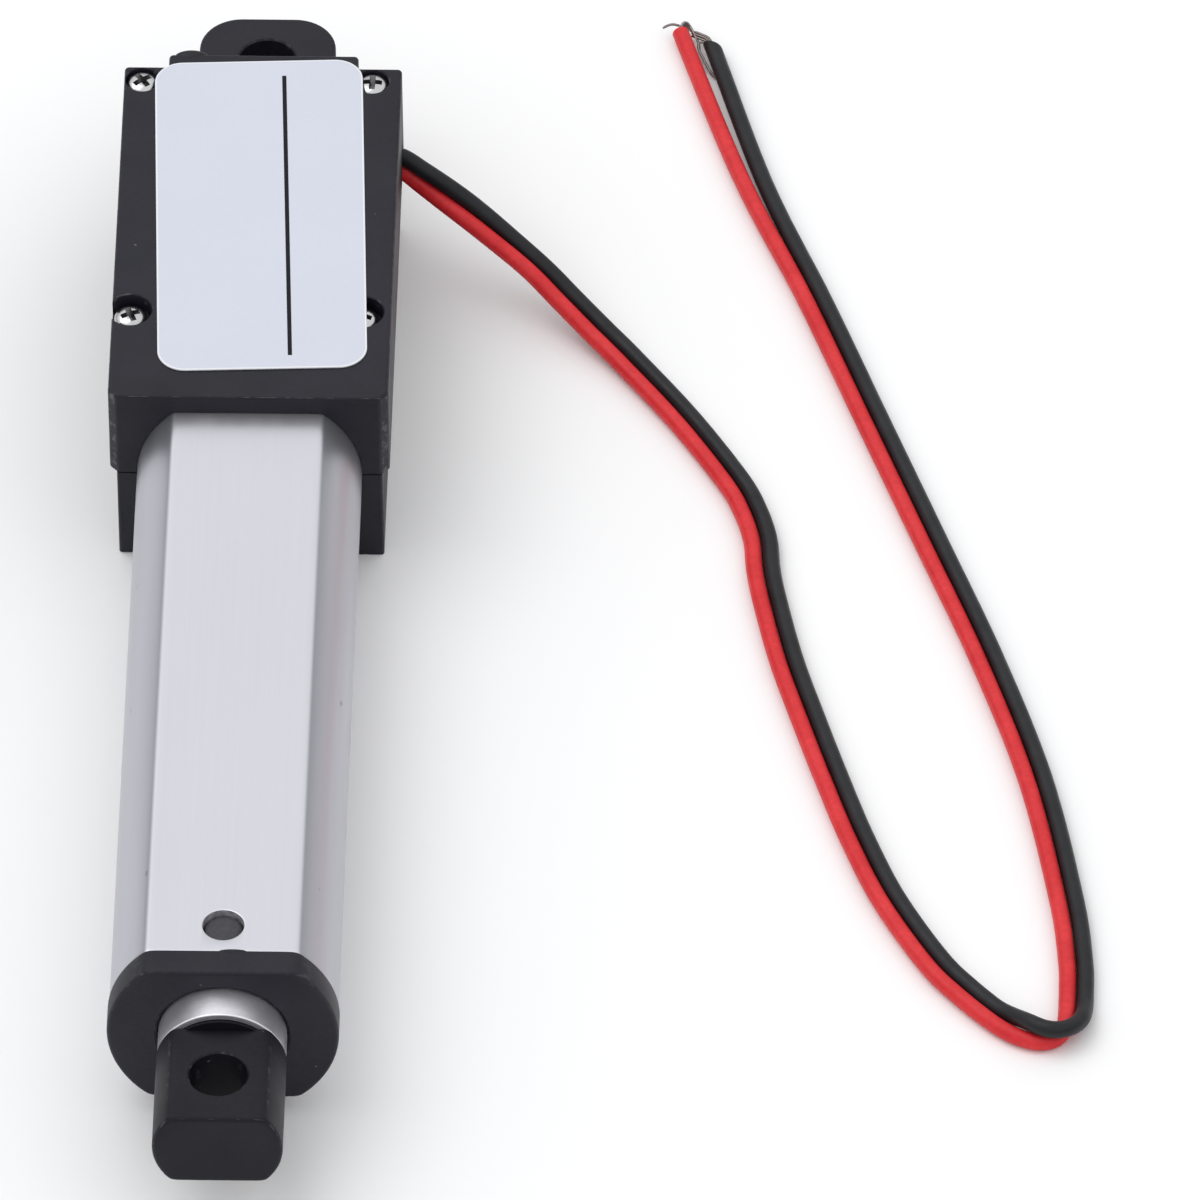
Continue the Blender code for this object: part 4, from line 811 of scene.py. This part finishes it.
class MakeLeads(bpy.types.Operator):
    """Lay the red and the black lead, with their bare strands"""

    bl_idname = "actuator.make_leads"
    bl_label = "Leads"

    def execute(self, context):
        sizes = context.scene.actuator_sizes
        radius = sizes.lead_diameter / MM / 2
        for name, line in lead_lines().items():
            lead = solid(name + "_insulation", swept(line, radius, around=24))
            if name == "black":
                carve(lead, [self.slanting_cut(line)])
            dress(lead, FINISHES[name + "_wire"], "housing", [name + "_lead"])
            strands = self.strands(name, line)
        return {"FINISHED"}

    def slanting_cut(self, line):
        """A box that takes the tip off on a slant, as side cutters leave it."""
        tip, ahead, left, _ = lead_tip(line)
        near, far = tip + ahead * 0.10 + left * 0.9, tip - ahead * 1.25 - left * 0.9
        plan = np.array([near, far, far + ahead * 3, near + ahead * 3])[:, :2]
        return solid("tool_slant", slab(plan, -1.0, 3.0))

    def strands(self, name, line):
        """The bare wires at the cut end. Each is a cubic through a few points, which are given along the
        lead, to its left and up, in millimetres from its tip."""
        tip, *directions = lead_tip(line)
        radius, floor_gap = 0.095, 0.09
        wires = []
        for points in STRANDS[name]:
            path = smooth_route(tip + np.array(points) @ np.stack(directions), 8)
            path[:, 2] = np.maximum(path[:, 2], floor_gap)
            taper = np.interp(np.linspace(0, 1, len(path)), [0, 0.9, 1], [1, 1, 0.6])
            wires.append(solid(f"{name}_wire_{len(wires)}", swept(path, radius * taper, around=10)))
        return dress(
            joined(name + "_strands", wires), FINISHES["tinned_copper"], "housing",
            [name + "_wire_end"], 60.0,
        )


STRANDS = {
    "red": [
        # one that points to the left, a bent-over tuft at the right of the cut, and two that lie back
        # along the lead
        [(-1.2, 0.1, 0.15), (0.22, -0.05, 0.3), (0.46, 0.2, 0.42), (0.56, 0.5, 0.45), (0.58, 0.85, 0.4),
         (0.51, 1.22, 0.3)],
        [(-1.2, 0, 0.25), (0.2, -0.15, 0.36), (0.52, -0.42, 0.44), (0.4, -0.66, 0.34), (0.1, -0.8, 0.2),
         (-0.46, -0.88, 0.1), (-1.05, -0.92, 0)],
        [(-1.2, -0.1, 0.2), (0.18, -0.2, 0.28), (0.42, -0.46, 0.36), (0.3, -0.7, 0.26),
         (-0.05, -0.84, 0.1), (-0.6, -0.96, 0), (-1.3, -0.98, -0.1), (-1.98, -0.9, -0.15)],
        [(-1.2, 0.1, 0.1), (0.24, -0.1, 0.22), (0.48, -0.34, 0.3), (0.44, -0.58, 0.22), (0.16, -0.76, 0.05)],
        [(-1.2, -0.2, 0), (0.2, -0.26, 0.14), (0.36, -0.48, 0.22), (0.2, -0.72, 0.12), (-0.25, -0.84, -0.05)],
        [(-1.2, 0, -0.1), (0.3, -0.06, 0.05), (0.52, -0.34, 0.12), (0.36, -0.62, 0.05), (-0.1, -0.86, -0.1)],
        [(-1.2, 0, 0.2), (0.1, -0.1, 0.4), (0.36, -0.36, 0.56), (0.4, -0.6, 0.46), (0.22, -0.74, 0.3)],
    ],
    "black": [
        # a flat bunch that leans over to the red lead, and one long wire that lies between the two
        [(-1.2, 0, 0.25), (0.14, 0.16, 0.28), (0.58, 0.46, 0.28), (1.02, 0.82, 0.2), (1.3, 1.05, 0.05)],
        [(-1.2, 0.1, 0.2), (0.06, 0.26, 0.22), (0.48, 0.54, 0.2), (0.92, 0.92, 0.12), (1.2, 1.12, 0)],
        [(-1.2, 0.1, 0), (-0.02, 0.34, 0.1), (0.36, 0.62, 0.08), (0.78, 0.98, 0.02), (1.05, 1.16, -0.1)],
        [(-1.2, -0.1, 0.1), (0.18, 0.06, 0.16), (0.6, 0.38, 0.16), (1.04, 0.74, 0.08), (1.36, 0.98, -0.1)],
        [(-1.2, 0.2, -0.1), (-0.1, 0.34, 0), (0.1, 0.84, 0), (-0.5, 1.02, -0.05), (-1.5, 0.92, -0.15),
         (-2.7, 0.74, -0.3), (-3.4, 0.56, -0.25)],
    ],
}


def joined(name, pieces):
    """Several pieces as one mesh."""
    mesh = bpy.data.meshes.new(name)
    edit = bmesh.new()
    for piece in pieces:
        edit.from_mesh(piece.data)
        bpy.data.meshes.remove(piece.data)
    edit.to_mesh(mesh)
    edit.free()
    return placed(name, mesh)


def housing_plan(half, front, rear, chamfer):
    """Plan of a housing half: front corners, chamfered or square, square shoulders and a narrower tail."""
    shoulder, tail = rear - TAIL_SETBACK, 6.8
    corners = [
        (half - chamfer, front), (half, front + chamfer), (half, shoulder), (tail, shoulder), (tail, rear),
    ]
    radii = [0.4, 0.4, 0.32, 0.2, 0.32]
    if not chamfer:
        corners, radii = corners[1:], [0.2, 0.25, 0.2, 0.25]
    corners += [(-x, y) for x, y in reversed(corners)]
    return rounded_path(corners, radii + radii[::-1])


class MakeHousing(bpy.types.Operator):
    """Mould the two halves of the gear-motor housing"""

    bl_idname = "actuator.make_housing"
    bl_label = "Housing"

    def execute(self, context):
        sizes = context.scene.actuator_sizes
        edge = sizes.housing_edge / MM
        halves = (
            ("cover", COVER_HIGH[0], 0.6, COVER_LOW[2], HOUSING_TOP, 0.06, edge),
            ("base", BASE_HIGH[0], 0.0, BASE_LOW[2], BASE_HIGH[2], edge * 0.5, 0.06),
        )
        for name, half, chamfer, bottom, top, lower, upper in halves:
            plan = housing_plan(half, BASE_LOW[1], HOUSING_REAR, chamfer)
            shell = solid(f"{name}_shell", prism(*plan, edge_profile(bottom, top, lower, upper)))
            if name == "cover":
                mark = ellipsoid((-5.2, HOUSING_REAR, HOUSING_TOP - 0.4), (1.25, 0.6, 0.5))
                carve(shell, [solid("tool_gate_mark", mark)], "UNION")
                carve(shell, self.side_chamfers())
            carve(shell, self.cavity(name) + self.screw_holes(name))
            dress(shell, FINISHES["housing_plastic"], "housing", [f"housing_{name}"])
        return {"FINISHED"}

    def side_chamfers(self):
        """Wedges that take the bottom side edges off the cover, down to the width of the base."""
        tools = []
        inner, outer = BASE_HIGH[0], COVER_HIGH[0]
        step = outer - inner
        for side in (-1, 1):
            wedge = np.array([
                (side * (inner - step), AXIS_Z - 2 * step), (side * (outer + 2 * step), AXIS_Z + 2.5 * step),
                (side * (outer + 2 * step), AXIS_Z - 2 * step),
            ])
            stations = np.array([BASE_LOW[1] - 2, HOUSING_REAR + 2])
            grid = np.stack([np.column_stack([wedge[:, 0], np.full(3, y), wedge[:, 1]]) for y in stations])
            tools.append(solid(f"tool_side_{side}", grid))
        return tools

    def cavity(self, name):
        """Hollows for the tube, the bearing, the gear motor, the eye's flange and neck, and the leads."""
        gap = 0.04
        socket = np.array([[0.0, TUBE_LOW[1]], [0.0, TUBE_HIGH[1] + gap]])
        radius, flat = TUBE_HIGH[0] + gap, TUBE_FLAT + gap
        bearing = BEARING_HIGH[0] + gap
        pocket_front, pocket_rear = BEARING_HIGH[1] + 0.5, EYE_LOW[1] - 0.05
        flange_x, flange_z = EYE_HIGH[0] + 0.05, (EYE_HIGH[2] - EYE_LOW[2]) / 2 + 0.05
        motor_x, motor_z = MOTOR_HIGH[0] + 0.1, MOTOR_HIGH[2] - AXIS_Z + 0.1
        shoulder = HOUSING_REAR - TAIL_SETBACK
        neck_x, neck_z = 4.95, 3.2
        slot_front, slot_rear, slot_bottom, slot_top = 41.93, 43.57, 7.55, 10.45
        grids = [
            bar(lambda inset: double_d(radius, flat), socket),
            turned([(bearing, TUBE_HIGH[1] - 1), (bearing, BEARING_HIGH[1] + 0.8)], 72),
            block((-motor_x, pocket_front, AXIS_Z - motor_z), (motor_x, pocket_rear, AXIS_Z + motor_z)),
            block(
                (-flange_x, pocket_rear - 0.1, AXIS_Z - flange_z),
                (flange_x, shoulder + 0.02, AXIS_Z + flange_z),
            ),
            block((-neck_x, shoulder - 0.2, AXIS_Z - neck_z), (neck_x, shoulder + 4, AXIS_Z + neck_z)),
            block((motor_x - 0.2, slot_front, slot_bottom), (COVER_HIGH[0] + 1, slot_rear, slot_top)),
        ]
        return [solid(f"tool_{name}_{i}", grid) for i, grid in enumerate(grids)]

    def screw_holes(self, name):
        """Counterbores in the cover and shank holes in both halves."""
        shank, mouth, above = 0.65, 0.08, 17.0
        tools = []
        for node, radius in SCREWS.items():
            x, y, _, bottom, top = screw_place(node)
            seat = top - HEAD_HEIGHT
            if name == "cover":
                tools.append(solid("tool_bore_" + node, upright([
                    (radius, seat - 0.05), (radius, HOUSING_TOP - mouth),
                    (radius + 2 * mouth, HOUSING_TOP + mouth), (radius + 2 * mouth, above),
                ], x, y)))
            hole = upright([(shank, bottom - 0.05), (shank, seat + 0.1)], x, y, 32)
            tools.append(solid("tool_shank_" + node, hole))
        return tools


# The screws, with the radius of each one's counterbore
SCREWS = {
    "cover_screw_front_left": 1.55,
    "cover_screw_front_right": 1.55,
    "cover_screw_rear_left": 1.21,
    "cover_screw_rear_right": 1.21,
}


def screw_place(node):
    """The middle of a screw in X and Y, half its width, and its bottom and top."""
    low, high = span(node)
    return (low[0] + high[0]) / 2, (low[1] + high[1]) / 2, (high[0] - low[0]) / 2, low[2], high[2]


class MakeScrews(bpy.types.Operator):
    """Make the four cross-recessed screws"""

    bl_idname = "actuator.make_screws"
    bl_label = "Cover Screws"

    def execute(self, context):
        shank, pole, dome_height, recess_reach = 0.58, 0.02, 0.5, 0.78
        for index, node in enumerate(SCREWS):
            x, y, half_width, bottom, top = screw_place(node)
            radius = half_width + 0.05
            seat = top - HEAD_HEIGHT
            arc = np.linspace(0, np.pi / 2, 9)
            dome = np.stack([radius * np.sin(arc) ** 0.8, seat + 0.4 + dome_height * np.cos(arc)], axis=1)
            dome[0, 0] = pole
            profile = np.vstack([dome, [radius, seat], [shank, seat], [shank, bottom], [pole, bottom]])
            head = solid("screw_head_" + node.replace("cover_screw_", ""), upright(profile, x, y, 48))
            turn = 0.4 + 0.9 * index
            carve(head, self.recess(node, x, y, top, turn))
            dress(head, FINISHES["bright_steel"], "housing", [node], 30.0)
            # the faces inside the cross recess are painted dark: painted shade in the recess
            inside = [(seat + 0.05, top - 0.16)]
            repaint(head, FINISHES["recess_painted_shade"], x, y, recess_reach, inside)
        return {"FINISHED"}

    def recess(self, name, x, y, top, turn):
        """Two crossed slots whose ends slope in towards the bottom."""
        corners = np.array([(-1, -1), (1, -1), (1, 1), (-1, 1)])
        levels = ((0.30, 0.13, top - 0.66), (0.74, 0.22, top - 0.02), (0.86, 0.24, top + 0.4))
        tools = []
        for index in range(2):
            spin = turning(turn + index * np.pi / 2)
            rings = [
                np.column_stack([(corners * (half_length, half_width)) @ spin + (x, y), np.full(4, z)])
                for half_length, half_width, z in levels
            ]
            tools.append(solid(f"tool_{name}_{index}", np.stack(rings)))
        return tools


class MakeTube(bpy.types.Operator):
    """Draw the flat-sided tube and pierce its latch holes"""

    bl_idname = "actuator.make_tube"
    bl_label = "Tube"

    def execute(self, context):
        sizes = context.scene.actuator_sizes
        wall, edge, guard = 0.8, 0.08, 0.4
        outside = edge_profile(TUBE_LOW[1], TUBE_HIGH[1], edge, edge, 3)[1:-1]
        guards = [[0.0, TUBE_LOW[1] + guard], [0.0, TUBE_HIGH[1] - guard]]
        outside = np.insert(outside, 4, guards, axis=0)
        inside = np.array([[wall, TUBE_HIGH[1]], [wall, TUBE_LOW[1]]])
        profile = np.vstack([outside, inside])
        grid = bar(lambda inset: double_d(TUBE_HIGH[0] - inset, TUBE_FLAT - inset), profile)
        tube = solid("drawn_tube", grid, loop=True)
        hole = sizes.latch_hole / MM / 2
        low, high, mouth, sink = TUBE_LOW[2], TUBE_HIGH[2], 0.11, 0.035
        drill = solid("tool_latch", upright([
            (hole + 2 * mouth, low - sink), (hole, low + sink),
            (hole, high - sink), (hole + 2 * mouth, high + sink),
        ], 0.0, LATCH_Y))
        carve(tube, [drill])
        dress(tube, FINISHES["silver_anodised"], "housing", ["outer_tube"], 24.0)
        walls = ((low - 0.1, low + wall + 0.1), (high - wall - 0.1, high + 0.1))
        repaint(tube, FINISHES["punched_edge"], 0.0, LATCH_Y, hole + mouth * 0.4, walls)
        return {"FINISHED"}


class MakeCap(bpy.types.Operator):
    """Mould the front cap with its pegs and bore"""

    bl_idname = "actuator.make_cap"
    bl_label = "Front Cap"

    def execute(self, context):
        sizes = context.scene.actuator_sizes
        edge = sizes.cap_edge / MM
        radius, flat = CAP_HIGH[0], (CAP_HIGH[2] - CAP_LOW[2]) / 2
        rear = TUBE_LOW[1] - HAIRLINE
        flange = solid("cap_moulding", bar(
            lambda inset: double_d(radius - inset, flat - inset, crisp=7.0),
            edge_profile(CAP_LOW[1], rear, edge, 0.05),
        ))
        plug_inset, peg_gap, peg_drop = 0.85, 0.1, 0.34
        plug_radius, plug_flat = TUBE_HIGH[0] - plug_inset, TUBE_FLAT - plug_inset
        plug = solid("tool_plug", bar(
            lambda inset: double_d(plug_radius, plug_flat), np.array([[0, rear - 1.0], [0, CAP_HIGH[1]]]),
        ))
        peg = sizes.latch_hole / MM / 2 - peg_gap
        top = TUBE_HIGH[2] - peg_drop
        upper = upright([
            (peg, AXIS_Z), (peg, top - 0.3), (peg * 0.92, top - 0.12), (peg * 0.7, top),
            (peg * 0.3, top + 0.04),
        ], 0.0, LATCH_Y)
        lower = upper.copy()
        lower[..., 2] = 2 * AXIS_Z - lower[..., 2]
        flash = ellipsoid((0.75, rear, AXIS_Z + flat - 0.05), (0.95, 0.17, 0.12))
        pegs = [solid("tool_upper", upper), solid("tool_lower", lower)]
        carve(flange, [plug, *pegs, solid("tool_flash", flash)], "UNION")
        bore, mouth = ROD_HIGH[0] + 0.08, 0.22
        drill = solid("tool_bore", turned([
            (bore + mouth * 2, CAP_LOW[1] - mouth), (bore, CAP_LOW[1] + mouth), (bore, CAP_HIGH[1] + 3),
        ]))
        seal_low, seal_high = span("rod_seal")
        gap = 0.06
        groove = solid("tool_groove", turned([
            (seal_high[0] + gap, seal_low[1] - gap), (seal_high[0] + gap, seal_high[1] + gap),
        ], 72))
        carve(flange, [drill, groove])
        dress(flange, FINISHES["black_plastic"], "housing", ["front_cap"])
        # the peg tops take the paler plastic: a painted highlight in the latch hole
        tops = ((0.0, AXIS_Z - plug_flat - 0.02), (AXIS_Z + plug_flat + 0.02, 2 * AXIS_Z))
        repaint(flange, FINISHES["peg_painted_highlight"], 0.0, LATCH_Y, peg + 0.02, tops)
        return {"FINISHED"}


class MakeRod(bpy.types.Operator):
    """Turn the push rod and mould its end block"""

    bl_idname = "actuator.make_rod"
    bl_label = "Rod And Rod End"

    def execute(self, context):
        sizes = context.scene.actuator_sizes
        edge, wall = 0.1, 0.5
        bore = ROD_HIGH[0] - wall
        outside = edge_profile(ROD_LOW[1], ROD_HIGH[1], edge, edge, 4)[1:-1]
        outside[:, 0] = ROD_HIGH[0] - outside[:, 0]
        inside = [(bore, ROD_HIGH[1]), (bore, ROD_LOW[1] + 0.05), (bore + 0.05, ROD_LOW[1])]
        rod = solid("rod_bar", turned(np.vstack([outside, inside]), 160), loop=True)
        dress(rod, FINISHES["polished_aluminium"], "rod", ["push_rod"], 40.0)
        rear = ROD_LOW[1] - HAIRLINE
        end = solid("rod_end_block", bar(
            lambda inset: double_d(ROD_END_HIGH[0] - inset, END_BLOCK_FLAT - inset, crisp=7.0),
            edge_profile(ROD_END_LOW[1], rear, sizes.end_edge / MM, 0.08),
        ))
        plug = bore - HAIRLINE
        spigot = solid("tool_spigot", turned([(plug, rear - 0.6), (plug, ROD_END_HIGH[1])]))
        trim = solid("tool_trim", block((-6, rear - 3, -6), (6, rear - 0.18, 22)))
        carve(spigot, [trim])
        carve(end, [spigot], "UNION")
        hole_from_tip = 4.4
        carve(end, [solid("tool_hole", pin_drill(sizes, ROD_END_LOW[1] + hole_from_tip))])
        dress(end, FINISHES["rod_end_plastic"], "rod", ["rod_end"])
        return {"FINISHED"}


def pin_drill(sizes, y):
    """A drill for the pin hole of an end block, whose two mouths are slightly countersunk."""
    radius, mouth = sizes.pin_hole / MM / 2, 0.12
    low, high = AXIS_Z - END_BLOCK_FLAT, AXIS_Z + END_BLOCK_FLAT
    return upright([
        (radius + 2 * mouth, low - mouth), (radius, low + mouth),
        (radius, high - mouth), (radius + 2 * mouth, high + mouth),
    ], 0.0, y, 96)


class MakeEye(bpy.types.Operator):
    """Mould the rear mounting eye"""

    bl_idname = "actuator.make_eye"
    bl_label = "Rear Eye"

    def execute(self, context):
        sizes = context.scene.actuator_sizes
        edge = sizes.end_edge / MM * 0.8
        half, front, tip, thickness, hole_from_tip = 4.9, EYE_LOW[1], EYE_HIGH[1], 1.4, 4.3
        plan = rounded_path(
            [(half, front), (half, tip), (-half, tip), (-half, front)], [0.4, 3.0, 3.0, 0.4], 12,
        )
        profile = edge_profile(AXIS_Z - END_BLOCK_FLAT, AXIS_Z + END_BLOCK_FLAT, edge, edge)
        eye = solid("eye_block", prism(*plan, profile))
        flange = solid("tool_flange", block(EYE_LOW, (EYE_HIGH[0], front + thickness, EYE_HIGH[2])))
        carve(eye, [flange], "UNION")
        carve(eye, [solid("tool_eye_hole", pin_drill(sizes, tip - hole_from_tip))])
        dress(eye, FINISHES["black_plastic"], "housing", ["rear_mounting_eye"])
        return {"FINISHED"}


class MakeLabel(bpy.types.Operator):
    """Stick the blank label on the cover, with its rule line"""

    bl_idname = "actuator.make_label"
    bl_label = "Label"

    def execute(self, context):
        sizes = context.scene.actuator_sizes
        half_x, half_y, corner = 14.9 / 2, 31.6 / 2, 2.0
        corners = [(half_x, -half_y), (half_x, half_y), (-half_x, half_y), (-half_x, -half_y)]
        plan, normals = rounded_path(corners, [corner] * 4, 16)
        spin = turning(sizes.label_turn)
        middle = (LABEL_LOW[:2] + LABEL_HIGH[:2]) / 2
        low, high = LABEL_LOW[2], LABEL_HIGH[2]
        grid = prism(plan @ spin + middle, normals @ spin, edge_profile(low, high, 0.02, 0.05, 3, 0.08))
        sheet = solid("label_sheet", grid)
        dress(sheet, FINISHES["label_film"], "housing", ["label_plate"])
        sheet.data.materials.append(FINISHES["painted_highlight_rim"])
        # the last two faces are the flat bottom and top, and the others are the cut rim, which takes the
        # paler finish as a painted highlight along the label's edge
        rim = np.ones(len(sheet.data.polygons), dtype=np.int32)
        rim[-2:] = 0
        sheet.data.polygons.foreach_set("material_index", rim)
        line = np.array([(1.815, -14.5), (2.115, -14.5), (1.97, 14.2), (1.67, 14.2)]) @ spin + middle
        rule = solid("label_rule", slab(line, high - 0.01, high + 0.012))
        dress(rule, FINISHES["ink"], "housing")
        return {"FINISHED"}


class FinishMechanism(bpy.types.Operator):
    """Give every solid that stays its finish"""

    bl_idname = "actuator.finish_mechanism"
    bl_label = "Mechanism Finishes"

    def execute(self, context):
        slots = {part["node"]: part["material_slot"] for part in frame["record"]["subparts"]}
        for name, node in frame["nodes"].items():
            for index in range(len(node.material_slots)):
                node.material_slots[index].material = FINISHES[slots[name]]
        return {"FINISHED"}


class ActuatorPanel(bpy.types.Panel):
    """Lists the steps and their sizes, colours and stage"""

    bl_idname = "VIEW3D_PT_actuator"
    bl_label = "Micro Linear Actuator"
    bl_space_type = "VIEW_3D"
    bl_region_type = "UI"
    bl_category = "Actuator"

    def draw(self, context):
        layout = self.layout
        for group_name in GROUPS:
            group = getattr(context.scene, group_name)
            box = layout.box()
            for name in group.__annotations__:
                box.prop(group, name)
        for operator in STEPS:
            layout.operator(operator.bl_idname)


STEPS = (
    SetStage, MakeLeads, MakeHousing, MakeScrews, MakeTube, MakeCap, MakeRod, MakeEye, MakeLabel,
    FinishMechanism,
)
GROUPS = {
    "actuator_sizes": ActuatorSizes,
    "actuator_colours": ActuatorColours,
    "actuator_stage": StageSettings,
}


def register():
    """Register the groups, operators and panel."""
    for name, group in GROUPS.items():
        bpy.utils.register_class(group)
        setattr(bpy.types.Scene, name, bpy.props.PointerProperty(type=group))
    for item in (*STEPS, ActuatorPanel):
        bpy.utils.register_class(item)


def unregister():
    """Take everything off again."""
    for item in reversed((*STEPS, ActuatorPanel)):
        bpy.utils.unregister_class(item)
    for name, group in reversed(GROUPS.items()):
        delattr(bpy.types.Scene, name)
        bpy.utils.unregister_class(group)


def main():
    """Build the whole scene."""
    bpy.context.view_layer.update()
    register()
    make_finishes(bpy.context.scene.actuator_colours)
    bpy.ops.actuator.set_stage()
    bpy.ops.actuator.make_leads()
    bpy.ops.actuator.make_housing()
    bpy.ops.actuator.make_screws()
    bpy.ops.actuator.make_tube()
    bpy.ops.actuator.make_cap()
    bpy.ops.actuator.make_rod()
    bpy.ops.actuator.make_eye()
    bpy.ops.actuator.make_label()
    bpy.ops.actuator.finish_mechanism()


if __name__ == "__main__":
    main()
